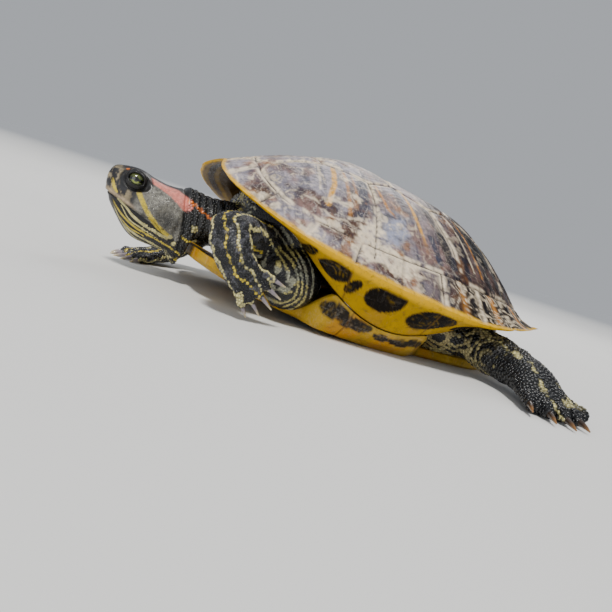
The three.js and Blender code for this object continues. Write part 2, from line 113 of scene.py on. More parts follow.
def unit(v):
    """Vectors made one long."""
    v = np.asarray(v, float)
    return v / np.linalg.norm(v, axis=-1, keepdims=True)


def mirrored(points, middle=0.0):
    """Points of both sides laid over each other: y becomes the distance from the middle."""
    return np.column_stack([points[:, 0], np.abs(points[:, 1] - middle), points[:, 2]])


def wrapped(angle, middle):
    """How far an angle is from the middle one, between minus and plus half a turn."""
    return np.mod(angle - middle + math.pi, 2 * math.pi) - math.pi


def tinted(paint, tone):
    """One paint for every point, made lighter or darker by tone (n)."""
    return np.asarray(paint) * np.asarray(tone, float)[:, None]


def mix_colour(base, colour, mask):
    """base towards colour by mask (n); each may be one colour or (n, 3) colours."""
    return base + (np.asarray(colour, float) - base) * np.clip(mask, 0, 1)[:, None]


def lattice(cells):
    """A fixed random number from 0 to 1 for each whole-number cell (n, 3)."""
    mixed = np.sin(cells @ np.array([127.1, 311.7, 74.7])) * 43758.5453
    return mixed - np.floor(mixed)


def noise(points, size, octaves=3, seed=0.0):
    """Smooth noise from 0 to 1 whose largest lumps are about `size` millimetres across."""
    total, weight, scale = 0.0, 0.0, 1.0
    for octave in range(octaves):
        p = np.asarray(points, float) * scale / size + seed + 17.3 * octave
        base = np.floor(p)
        t = p - base
        t = t * t * (3 - 2 * t)
        value = 0.0
        for corner in range(8):
            bits = np.array([corner & 1, corner >> 1 & 1, corner >> 2 & 1])
            share = np.prod(np.where(bits, t, 1 - t), axis=-1)
            value = value + share * lattice(base + bits)
        total = total + value * 0.5 ** octave
        weight += 0.5 ** octave
        scale *= 2
    return total / weight


def segment_distance(points, line):
    """Distance from points (n, k) to a line of points, and how far along it from 0 to 1."""
    points, line = np.asarray(points, float), np.asarray(line, float)
    steps = np.linalg.norm(np.diff(line, axis=0), axis=1)
    length, best, along, done = steps.sum(), None, None, 0.0
    for a, b, step in zip(line[:-1], line[1:], steps):
        t = np.clip(((points - a) @ (b - a)) / max(step * step, 1e-9), 0, 1)
        d = np.linalg.norm(points - a - t[:, None] * (b - a), axis=1)
        place = (done + t * step) / length
        if best is None:
            best, along = d, place
        else:
            nearer = d < best
            best, along = np.where(nearer, d, best), np.where(nearer, place, along)
        done += step
    return best, along


def smooth_row(row, count):
    """A smooth curve (count, k) through the rows of a table."""
    row = np.asarray(row, float)
    ends = np.vstack([2 * row[0] - row[1], row, 2 * row[-1] - row[-2]])
    u = np.linspace(0, len(row) - 1, count)
    i = np.minimum(u.astype(int), len(row) - 2)
    t = (u - i)[:, None]
    a, b, c, d = ends[i], ends[i + 1], ends[i + 2], ends[i + 3]
    return 0.5 * (2 * b + (c - a) * t + (2 * a - 5 * b + 4 * c - d) * t ** 2
                  + (3 * b - a - 3 * c + d) * t ** 3)


def grid_faces(rows, columns):
    """Quads between neighbouring rows of closed rings of points."""
    r, c = np.meshgrid(np.arange(rows - 1) * columns, np.arange(columns), indexing="ij")
    n = (c + 1) % columns
    return np.stack([r + c, r + n, r + columns + n, r + columns + c], -1).reshape(-1, 4)


def tree_of(points):
    """A search tree of points."""
    tree = kdtree.KDTree(len(points))
    for number, point in enumerate(points):
        tree.insert(point, number)
    tree.balance()
    return tree


def make_mesh(name, points, faces):
    """A Blender object from shell-frame points and faces that all have the same number of corners."""
    mesh = bpy.data.meshes.new(name)
    faces = np.asarray(faces)
    corners = faces.shape[1]
    mesh.vertices.add(len(points))
    mesh.vertices.foreach_set("co", world(points).astype(np.float32).ravel())
    mesh.loops.add(faces.size)
    mesh.loops.foreach_set("vertex_index", faces.astype(np.int32).ravel())
    mesh.polygons.add(len(faces))
    mesh.polygons.foreach_set("loop_start", np.arange(0, faces.size, corners, dtype=np.int32))
    mesh.update(calc_edges=True)
    mesh.validate()
    mesh.polygons.foreach_set("use_smooth", np.ones(len(mesh.polygons), bool))
    obj = bpy.data.objects.new(name, mesh)
    bpy.context.scene.collection.objects.link(obj)
    return obj


def numbers_of(items, key, width=3, kind=np.float32):
    """One property of a Blender collection, as an array (n, width)."""
    values = np.zeros(len(items) * width, kind)
    items.foreach_get(key, values)
    return values.reshape(-1, width)


def vertices_of(obj):
    """Vertices back in the shell's frame, in millimetres."""
    return leaned(numbers_of(obj.data.vertices, "co").astype(float) * 1000, -1) + REST


def set_vertices(obj, points):
    """Moves the vertices to points of the shell's frame."""
    obj.data.vertices.foreach_set("co", world(points).astype(np.float32).ravel())
    obj.data.update()


def normals_of(obj):
    """Vertex normals in the shell's frame."""
    return leaned(numbers_of(obj.data.vertex_normals, "vector"), -1)


def store(obj, name, values):
    """A number, vector or colour for each vertex, as an attribute that the material reads."""
    values = np.asarray(values, np.float32)
    kind, key = ("FLOAT", "value") if values.ndim == 1 else ("FLOAT_VECTOR", "vector")
    if name == "colour":
        kind, key = "FLOAT_COLOR", "color"
        values = np.concatenate([np.clip(values, 0, 1), np.ones((len(values), 1), np.float32)], 1)
    obj.data.attributes.new(name, kind, "POINT").data.foreach_set(key, values.ravel())


def finish_piece(obj, material, nodes=()):
    """Gives a piece its material and body, and hides the CAD nodes that it replaces."""
    obj.data.materials.append(material)
    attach(obj, "root")
    if nodes:
        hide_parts(*nodes)


# ------------------------------------------------------------ materials
class Shader:
    """A small builder of node materials."""

    def __init__(self, name):
        self.material = bpy.data.materials.new(name)
        self.material.use_nodes = True
        self.tree = self.material.node_tree
        self.surface = self.tree.nodes["Principled BSDF"]

    def feed(self, socket, source):
        """Links a socket to another, or sets its value."""
        if isinstance(source, bpy.types.NodeSocket):
            self.tree.links.new(source, socket)
        else:
            socket.default_value = source

    def node(self, kind, links=(), **values):
        made = self.tree.nodes.new(kind)
        for key, value in values.items():
            setattr(made, key, value)
        for socket, source in dict(links).items():
            self.feed(made.inputs[socket], source)
        return made

    def attribute(self, name, output="Fac"):
        return self.node("ShaderNodeAttribute", attribute_name=name).outputs[output]

    def position(self):
        return self.node("ShaderNodeTexCoord").outputs["Object"]

    def noise(self, scale, detail=3.0, vector=None, roughness=0.55):
        links = {"Scale": scale, "Detail": detail, "Roughness": roughness}
        links["Vector"] = vector or self.position()
        return self.node("ShaderNodeTexNoise", links).outputs["Fac"]

    def cell_edges(self, scale, vector):
        """Distance from the edges of random cells."""
        links = {"Scale": scale, "Vector": vector}
        return self.node("ShaderNodeTexVoronoi", links, feature="DISTANCE_TO_EDGE").outputs["Distance"]

    def math(self, operation, a, b, clamp=False):
        return self.node("ShaderNodeMath", {0: a, 1: b}, operation=operation, use_clamp=clamp).outputs[0]

    def times(self, a, b):
        return self.math("MULTIPLY", a, b)

    def plus(self, a, b):
        return self.math("ADD", a, b)

    def spread(self, value, low, high, to_low=0.0, to_high=1.0):
        links = {"Value": value, "From Min": low, "From Max": high, "To Min": to_low, "To Max": to_high}
        return self.node("ShaderNodeMapRange", links, interpolation_type="SMOOTHSTEP").outputs[0]

    def stretch(self, scale, vector=None):
        links = {"Vector": vector or self.position(), "Scale": scale}
        return self.node("ShaderNodeMapping", links).outputs[0]

    def mix(self, share, a, b):
        """Colour a towards colour b; a plain colour is three numbers."""
        made = self.node("ShaderNodeMix", {0: share}, data_type="RGBA")
        for number, source in ((6, a), (7, b)):
            self.feed(made.inputs[number], (*source, 1.0) if isinstance(source, tuple) else source)
        return made.outputs[2]

    def relief(self, height, distance, strength=1.0):
        links = {"Height": height, "Distance": distance, "Strength": strength}
        return self.node("ShaderNodeBump", links).outputs[0]

    def use(self, colour, roughness, **values):
        """The finished material, with the surface's inputs named by keyword."""
        values.update(Base_Color=colour, Roughness=roughness)
        for name, source in values.items():
            self.feed(self.surface.inputs[name.replace("_", " ")], source)
        return self.material


def horn(name, relief_mm, gloss):
    """Weathered horn: stored colours under fine scratches that follow each plate's growth."""
    s = Shader(name)
    growth, wear = s.attribute("growth", "Vector"), s.attribute("wear")
    rays = s.noise(9.0, 4.0, s.stretch((1.0, 1.0, 0.12), growth), 0.7)
    rings = s.noise(26.0, 3.0, s.stretch((0.06, 0.06, 1.0), growth), 0.6)
    specks = s.noise(900.0, 4.0)
    hairs = s.spread(s.plus(s.times(rays, 0.75), s.times(specks, 0.42)), 0.62, 0.76)
    lines = s.spread(s.plus(s.times(rings, 0.7), s.times(specks, 0.4)), 0.62, 0.72)
    scratch = 0.0
    for turn, scale in ((0.35, 60.0), (1.5, 85.0), (2.5, 70.0)):
        tilted = s.node("ShaderNodeVectorRotate", {"Vector": s.position(), "Angle": turn}).outputs[0]
        edges = s.cell_edges(scale, s.stretch((1.0, 5.0, 1.0), tilted))
        broken = s.spread(s.noise(150.0 + scale, 3.0), 0.5, 0.62)
        scratch = s.math("MAXIMUM", scratch, s.times(s.spread(edges, 0.0, 0.035, 1.0, 0.0), broken))
    pale = s.math("MULTIPLY", s.math("MAXIMUM", scratch, s.math("MAXIMUM", hairs, lines)), wear, clamp=True)
    colour = s.mix(pale, s.attribute("colour", "Color"), (0.62, 0.55, 0.47))
    grime = s.times(s.spread(s.noise(420.0, 5.0), 0.5, 0.75), 0.4)
    colour = s.mix(grime, colour, (0.014, 0.011, 0.013))
    height = s.plus(s.times(rays, 0.5), s.plus(s.times(rings, 0.6), specks))
    rough = s.spread(s.plus(wear, s.times(specks, 0.5)), 0.1, 1.2, gloss, gloss + 0.3)
    height = s.math("SUBTRACT", height, s.times(scratch, 0.8))
    shine = s.spread(wear, 0.05, 0.16, 0.07, 0.32)
    relief = s.relief(height, relief_mm / 1000, 0.8)
    return s.use(colour, rough, Normal=relief, Specular_IOR_Level=shine)


# ------------------------------------------------------------ the shell's form
def rim_outline():
    """The near half of the rim in plan: share of its length, x and y."""
    angle = np.linspace(0, math.pi, 4001)
    cos, sin = np.cos(angle), np.sin(angle)
    power = 2 / np.where(cos > 0, RIM["front_power"], RIM["rear_power"])
    reach = np.where(cos > 0, RIM["widest_x"] - RIM["front_x"], RIM["rear_x"] - RIM["widest_x"])
    y = RIM["half_width"] * SHELL * np.abs(sin) ** power
    notch = np.where(cos > 0, RIM["notch_depth"] * bump(y, RIM["notch_half_width"] * SHELL), 0)
    x = SHELL * (RIM["widest_x"] - reach * np.sign(cos) * np.abs(cos) ** power + notch)
    length = np.concatenate([[0], np.cumsum(np.hypot(np.diff(x), np.diff(y)))])
    return length / length[-1], x, y


OUTLINE = rim_outline()
MARGINALS = 12


def rim_point(t):
    """The rim; t counts the marginals, from 0 over the neck to 1 over the tail."""
    t = np.asarray(t, float)
    share, xs, ys = OUTLINE
    u = np.minimum(1, t ** RIM["seam_power"])
    x, y = np.interp(u, share, xs), np.interp(u, share, ys)
    z = SHELL * (RIM["side_z"] + RIM["front_rise"] * np.exp(-(t / RIM["front_reach"]) ** 1.35)
                 + RIM["rear_rise"] * ease(t, 0.55, 0.8) - RIM["rear_drop"] * ease(t, 0.85, 1))
    # small notches where the marginals meet, deeper towards the rear
    near = np.abs(t * MARGINALS - np.round(t * MARGINALS))
    notch = (0.5 + 1.7 * ease(t, 0.55, 0.75)) * bump(near, 0.13) + 0.7 * near * ease(t, 0.55, 0.75)
    away = unit(np.stack([x, y], -1) - np.array([0.55 * SHELL, 0.0]))
    return np.stack([x - away[..., 0] * notch, y - away[..., 1] * notch, z], -1)


def dome_point(t, climb, inset=0.0):
    """The dome from the rim at climb 0 to the ridge line at climb 1."""
    t = np.asarray(t, float)
    edge = rim_point(t)
    ridge_x = SHELL * lerp(DOME["front_x"], DOME["rear_x"], t * t * (3 - 2 * t))
    arch = 4 * (DOME["middle_z"] - (DOME["front_z"] + DOME["rear_z"]) / 2) * t * (1 - t)
    ridge_z = SHELL * (lerp(DOME["front_z"], DOME["rear_z"], t) + arch) - inset
    power = lerp(np.where(t < 0.5, DOME["front_power"], DOME["rear_power"]), DOME["side_power"],
                 np.sin(math.pi * t) ** 2)
    crown = DOME["crown"]
    away = ((1 - climb) ** 2 + crown ** 2) ** (power / 2) - crown ** power
    away = away / ((1 + crown ** 2) ** (power / 2) - crown ** power)
    flat = np.stack([ridge_x, np.zeros_like(t), edge[..., 2]], -1)
    shrink = 1 - inset / np.linalg.norm(edge - flat, axis=-1)
    flare = (DOME["flare"] * ease(t, 0.5, 0.85) * climb / DOME["flare_at"]
             * np.exp(1 - climb / DOME["flare_at"]))
    return np.stack([ridge_x + (edge[..., 0] - ridge_x) * (1 - climb) * shrink,
                     edge[..., 1] * (1 - climb) * shrink,
                     edge[..., 2] + (ridge_z - edge[..., 2]) * (1 - away) - flare], -1)


def bridge_share(t):
    """1 at the middle of the bridge, falling to 0 in front of it and behind it."""
    span = np.where(t < UNDER["bridge_at"], UNDER["front_span"], UNDER["rear_span"])
    return np.cos(np.minimum(1, np.abs(t - UNDER["bridge_at"]) / span) * math.pi / 2) ** 2


def hem_point(t):
    """The inner edge of the marginals' lower faces."""
    edge, bridge = rim_point(t), bridge_share(t)
    inward = np.stack([SHELL * lerp(DOME["front_x"], DOME["rear_x"], t) - edge[..., 0], -edge[..., 1]], -1)
    width = lerp(UNDER["width"], UNDER["bridge_width"], bridge)
    inward *= (width / np.linalg.norm(inward, axis=-1))[..., None]
    z = edge[..., 2] + lerp(UNDER["rise"], -UNDER["bridge_drop"], bridge)
    return np.stack([edge[..., 0] + inward[..., 0], edge[..., 1] + inward[..., 1], z], -1)


# ------------------------------------------------------------ the scutes
# Seams are given in plan, as x back from the front edge and distance from the midline.
VERTEBRAL_SIDE = np.array([(12.5, 3), (15, 12), (18.5, 21.6), (30, 19), (41, 17.5), (50, 18), (76, 27),
                           (93, 19), (117, 27), (134, 19), (153, 25), (170, 13), (180, 21), (197, 31)])
VERTEBRAL_BREAKS = (50.5, 94.5, 135.5, 170.5)
COSTAL_BREAKS = [np.array(line) for line in (
    [(76, 27), (77.5, 45), (74.5, 66), (73, 75)],
    [(117, 27), (121, 40), (126, 52), (127.5, 65), (128, 74)],
    [(153, 25), (160, 38), (165, 50), (164, 60)],
)]
NUCHAL = 0.0145                        # half width of the small scute over the neck, in t
AREOLES = np.array([(39, 1), (80, 1), (122, 1), (157, 1), (188, 1),
                    (57, 34), (100, 42), (143, 40), (178, 32)])   # five vertebrals, four costals


def marginal_top(t):
    """Climb of the seam above the marginals."""
    return np.interp(t, [0, 0.075, 0.105, 0.18, 0.24, 0.43, 0.55, 0.7, 0.85, 1],
                     [0.2, 0.21, 0.185, 0.128, 0.125, 0.17, 0.2, 0.2, 0.19, 0.2])


def scute_of(t, climb, p):
    """The scute under each point: vertebrals 0 to 4, costals 5 to 8, then the marginals."""
    x, y = p[:, 0], np.abs(p[:, 1])
    side = np.interp(x, VERTEBRAL_SIDE[:, 0], VERTEBRAL_SIDE[:, 1])
    vertebral = np.searchsorted(VERTEBRAL_BREAKS, x)
    costal = 5 + sum((x > np.interp(y, line[:, 1], line[:, 0])).astype(int) for line in COSTAL_BREAKS)
    scute = np.where(y < side, vertebral, costal)
    marginal = 10 + np.minimum((t * MARGINALS).astype(int), MARGINALS - 1)
    marginal = np.where(t < NUCHAL, 9, marginal)
    return np.where(climb < marginal_top(t), marginal, scute)


def densify(line, step=0.5):
    """More points on the same line, about one step apart."""
    line = np.asarray(line, float)
    out = []
    for a, b in zip(line[:-1], line[1:]):
        n = max(1, int(np.linalg.norm(b - a) / step))
        out.append(a + (b - a) * np.linspace(0, 1, n, endpoint=False)[:, None])
    return np.vstack(out + [line[-1:]])


class Dome:
    """A table of the dome's near half, to drop plan points onto."""

    def __init__(self):
        t, q = np.meshgrid(np.linspace(0, 1, 361), np.linspace(0, 1, 141), indexing="ij")
        self.points = dome_point(t, q).reshape(-1, 3)
        self.tree = tree_of(self.points * (1, 1, 0))

    def drop(self, plan):
        found = [self.tree.find((x, abs(y), 0))[1] for x, y in plan]
        return np.column_stack([np.asarray(plan), self.points[found][:, 2]])


def seam_points(dome):
    """Points along every seam of the near half's upper face."""
    t = np.linspace(0, 1, 1200)
    lines = [dome_point(t, marginal_top(t))]
    plan = [VERTEBRAL_SIDE]
    for x in VERTEBRAL_BREAKS:
        plan.append([(x + 0.5, 0), (x - 0.5, np.interp(x, VERTEBRAL_SIDE[:, 0], VERTEBRAL_SIDE[:, 1]))])
    lines += [dome.drop(densify(line)) for line in plan + COSTAL_BREAKS]
    climbs = np.linspace(0, 1, 60)
    for edge in [NUCHAL] + [k / MARGINALS for k in range(1, MARGINALS + 1)]:
        lines.append(dome_point(np.full(len(climbs), edge), climbs * marginal_top(edge)))
    return np.vstack(lines)


def nearest(points, targets):
    """Distance from each point to the nearest target."""
    tree = tree_of(targets)
    return np.array([tree.find(p)[2] for p in points])


# ------------------------------------------------------------ the shell's colours
def srgb(red, green, blue):
    """A colour picked on the 0 to 255 display scale, as linear light."""
    c = np.array([red, green, blue]) / 255
    return np.where(c < 0.04045, c / 12.92, ((c + 0.055) / 1.055) ** 2.4)


LILAC = srgb(164, 159, 172)
CREAM = srgb(238, 220, 190)
UMBER = srgb(72, 46, 36)
MAUVE = srgb(122, 94, 88)
SLATE = srgb(44, 48, 68)
# painted highlight: a pale slate-blue that stands for the sun's glint on the slate patch
PAINTED_GLINT = srgb(148, 152, 174)
PITCH = srgb(12, 9, 11)
OCHRE = srgb(186, 124, 44)
BAR = srgb(226, 164, 36)
RIM_YELLOW = srgb(228, 176, 0)
SHELL_YELLOW = srgb(174, 136, 0)
BLOTCH = srgb(15, 10, 6)
SEAM = srgb(34, 27, 28)

# Bars down the costals, in plan: their points, width in millimetres, colour and strength.
BARS = (
    ([(55.6, 21), (53.5, 38), (48.5, 53)], 1.5, BAR, 1.0),
    ([(61, 24), (61, 40), (60.2, 57)], 1.1, OCHRE, 0.75),
    ([(65.5, 26), (66, 58)], 0.8, OCHRE, 0.5),
    ([(71, 26), (70, 45), (66, 56)], 3.4, SLATE, 0.95),
    ([(40, 22), (38, 36), (33, 50)], 3.0, SLATE, 0.55),
    ([(47, 22), (45, 44)], 0.8, CREAM, 0.6),
    ([(80, 28), (84, 44), (92, 53)], 1.0, OCHRE, 0.9),
    ([(99.3, 22), (103, 44), (106, 63)], 1.2, BAR, 0.85),
    ([(94, 22), (96, 40)], 2.8, SLATE, 0.85),
    # painted highlight: a pale slate-blue patch over the slate, where the sun's glint sits
    ([(84, 62), (88, 56), (92, 53)], 6.5, PAINTED_GLINT, 0.95),
    ([(80, 50), (90, 48)], 1.6, SLATE, 0.8),
    ([(99, 52), (106, 65)], 4.5, MAUVE, 0.9),
    ([(110, 52), (114, 65)], 2.2, SLATE, 0.9),
    ([(112, 28), (118, 46), (121, 62)], 3.2, PITCH, 0.8),
    ([(128, 24), (134, 40), (139, 60)], 0.7, CREAM, 0.6),
    ([(140, 24), (147, 42), (151, 60)], 4.0, PITCH, 0.85),
    ([(136, 24), (141, 42), (145, 60)], 0.9, OCHRE, 0.7),
    ([(158, 26), (168, 42), (174, 50)], 0.7, CREAM, 0.6),
    ([(165, 20), (178, 34), (186, 44)], 3.4, PITCH, 0.85),
    ([(175, 17), (189, 31), (197, 38)], 0.9, OCHRE, 0.6),
)


def carapace_colours(dome, p, t, climb, scute, seam, side):
    """Base colour and amount of pale wear for the dome's upper face."""
    twin = mirrored(p)
    x, y, _ = twin.T
    shifted = p + side[:, None] * 40
    broad, fine = noise(shifted, 26, 3), noise(shifted, 5, 3, 9)
    grain = noise(shifted, 1.9, 2, 62)
    streak = noise(twin * (1, 0.16, 0.16) + side[:, None] * 9, 3.0, 3, 5)
    front = 1 - ease(x + 26 * (broad - 0.5), 62, 128)
    rear = ease(x + 20 * (broad - 0.5), 110, 148)
    colour = mix_colour(UMBER, MAUVE, ease(noise(shifted, 11, 3, 77), 0.4, 0.62))
    cloud = 0.7 * noise(shifted, 13, 3, 8) + 0.2 * fine + 0.1 * grain
    colour = mix_colour(colour, LILAC, (0.12 + 0.7 * front) * ease(cloud, 0.42, 0.56))
    colour = mix_colour(colour, SLATE, ease(streak, 0.5, 0.62) * (0.8 - 0.35 * front))
    colour = mix_colour(colour, SLATE, front * 0.5 * ease(noise(shifted, 8, 4, 52), 0.56, 0.68))
    colour = mix_colour(colour, PITCH, rear * (0.62 + 0.38 * ease(streak, 0.36, 0.56)))
    colour = mix_colour(colour, OCHRE, 0.4 * ease(noise(shifted, 9, 3, 31), 0.56, 0.72) * (1 - rear))
    costal = (scute >= 5) & (scute <= 8)
    ragged = ease(noise(shifted, 2.2, 2, 3) + 0.5, 0.5, 0.95)
    for line, width, paint, strength in BARS:
        wobble = width * (0.8 + 0.5 * fine)
        d = segment_distance(twin, dome.drop(densify(line, 2)))[0]
        bar = 1 - ease(d, 0.55 * wobble, 1.25 * wobble)
        colour = mix_colour(colour, paint, costal * strength * ragged * bar)
    # marginals: a pale bar down the middle of each, strongest at the rear
    place = t * MARGINALS - np.floor(t * MARGINALS)
    marginal = scute >= 10
    spot = marginal * bump((place - 0.52 + 0.1 * (fine - 0.5)) * 16, 1.35) * ease(climb, 0.0, 0.03)
    dusky = marginal * ease(x, 112, 132) * (0.7 + 0.3 * ease(broad, 0.4, 0.6))
    colour = mix_colour(colour, PITCH, dusky)
    colour = mix_colour(colour, OCHRE, spot * ease(x, 112, 135) * 0.95)
    loops = noise(shifted, 10, 2, 70)
    loops = bump(np.mod(loops * 9, 1) - 0.5, 0.15) * marginal * ease(x, 108, 128)
    colour = mix_colour(colour, CREAM, 0.85 * loops * ease(grain, 0.3, 0.46))
    # worn patches and one painted highlight, seams with a pale border, and the yellow edge of the rim
    low = bump(x - 80, 25) * bump(climb - 0.13, 0.09) + 0.3 * bump(x - 38, 22) * bump(climb - 0.07, 0.07)
    # painted highlight: a small pale patch at x 72, high on the side, stands for the sun's glint
    low = low + 0.45 * bump(x - 72, 10) * bump(climb - 0.27, 0.07)
    low = low + 0.45 * ease(x, 200, 214) * (climb < 0.25)
    tatter = 0.55 * noise(shifted, 9, 4, 12) + 0.45 * noise(shifted, 2.6, 3, 18) - 0.5
    # one mask for the worn patches and the painted highlight
    wear_and_glint_patch = ease(low + 1.5 * tatter, 0.44, 0.68)
    colour = mix_colour(colour, CREAM, 0.9 * wear_and_glint_patch)
    colour = mix_colour(colour, MAUVE, wear_and_glint_patch * 0.7 * ease(noise(shifted, 4.2, 3, 98), 0.56, 0.7))
    chips = ease(noise(shifted, 6.5, 4, 24), 0.63, 0.68) * (0.25 + 0.4 * front)
    colour = mix_colour(colour, CREAM, chips)
    veins = bump(noise(shifted, 15, 2, 90) - 0.5, 0.011) + bump(noise(shifted, 10, 2, 55) - 0.47, 0.012)
    colour = mix_colour(colour, CREAM, np.minimum(veins, 1) * (0.2 + 0.5 * front) * ease(fine, 0.36, 0.5))
    crest = bump(y, 9) * ease(noise(shifted, 7, 3, 44), 0.45, 0.62)
    colour = mix_colour(colour, CREAM, 0.65 * crest)
    border = bump(seam - 1.2, 0.7 + 0.8 * fine) * ease(noise(shifted, 6, 3, 21), 0.4, 0.54)
    colour = mix_colour(colour, CREAM, (0.9 - 0.35 * rear) * border)
    crack = (1 - ease(seam, 0.2, 0.6)) * lerp(ease(noise(shifted, 14, 2, 36), 0.42, 0.56), 0.8, rear)
    colour = mix_colour(colour, SEAM, crack)
    colour = mix_colour(colour, colour * 0.6, ease(grain, 0.48, 0.7) * (1 - 0.45 * wear_and_glint_patch))
    edge = (1 - ease(climb, 0.012, 0.03)) * (1 - ease(t, 0.72, 0.86))
    colour = mix_colour(colour, RIM_YELLOW, edge * (0.75 + 0.25 * fine))
    wear = 0.22 + 0.25 * front + 0.4 * wear_and_glint_patch + 0.35 * (broad - 0.5) + 0.3 * border - 0.42 * rear
    return colour, np.clip(wear, 0.04, 1) * (1 - 0.85 * edge)


def blotched(p, centres, seed):
    """1 inside ragged blotches; each is a centre and how far it reaches along x, y and z."""
    ragged = 0.3 * (noise(p, 9, 2, seed) - 0.5) + 0.08 * (noise(p, 2.5, 2, seed + 5) - 0.5)
    mask = np.zeros(len(p))
    for centre, reach in centres:
        d = np.linalg.norm((p - np.asarray(centre)) / np.asarray(reach), axis=1)
        mask = np.maximum(mask, 1 - ease(d + ragged, 0.86, 0.98))
    return mask


def blackened(colour, p, blot):
    """Colours under dark blotches, which faint loops run through."""
    loops = bump(np.mod(noise(p, 11, 2, 15) * 9, 1) - 0.5, 0.14)
    swirl = 0.3 * loops * ease(noise(p, 3, 2, 35), 0.4, 0.6)
    return mix_colour(colour, BLOTCH, blot * (1 - swirl))


# Dark blotches under the marginals: place along the rim in marginals, place across, and reaches.
MARGINAL_BLOTCHES = (
    (3.06, 0.5, 0.15, 0.5), (3.67, 0.42, 0.34, 0.34), (4.1, 0.5, 0.12, 0.3), (4.8, 0.34, 0.4, 0.36),
    (5.94, 0.44, 0.52, 0.35), (7.0, 0.5, 0.45, 0.4), (8.0, 0.52, 0.36, 0.38), (9.0, 0.5, 0.34, 0.36),
    (10.0, 0.5, 0.34, 0.36), (11.0, 0.5, 0.36, 0.36), (12.0, 0.5, 0.3, 0.4),
)


def underside_colours(p, t, share):
    """The marginals' yellow lower faces, with dark blotches across their seams."""
    fine = noise(p, 4, 3, 2)
    colour = tinted(SHELL_YELLOW, 0.82 + 0.36 * fine)
    place = t * MARGINALS - np.floor(t * MARGINALS)
    ragged = 0.26 * (noise(p, 8, 2, 8) - 0.5) + 0.07 * (noise(p, 2.2, 2, 28) - 0.5)
    blot = np.zeros(len(p))
    for at, across, wide, high in MARGINAL_BLOTCHES:
        shear = -0.4 * (share - across)
        d = np.hypot((t * MARGINALS - at - shear) / wide, (share - across) / high)
        blot = np.maximum(blot, 1 - ease(d + ragged, 0.92, 1.02))
    colour = mix_colour(colour, srgb(170, 128, 40), 0.5 * ease(noise(p, 12, 3, 60), 0.5, 0.7))
    colour = blackened(colour, p, blot)
    uneven = share + 0.25 * ragged
    bands = ease(uneven, 0.26, 0.34) * (1 - ease(share, 0.5, 0.58)) + 0.8 * ease(uneven, 0.68, 0.76)
    colour = mix_colour(colour, srgb(70, 38, 8), (1 - ease(t, 0.16, 0.22)) * bands)
    # painted shade: the lower faces of the front marginals are darkened, down to half at the front
    colour = colour * (0.5 + 0.5 * ease(t, 0.14, 0.24))[:, None]
    seam = np.minimum(place, 1 - place)
    return mix_colour(colour, srgb(96, 68, 20), 0.7 * (1 - ease(seam, 0.008, 0.02)))


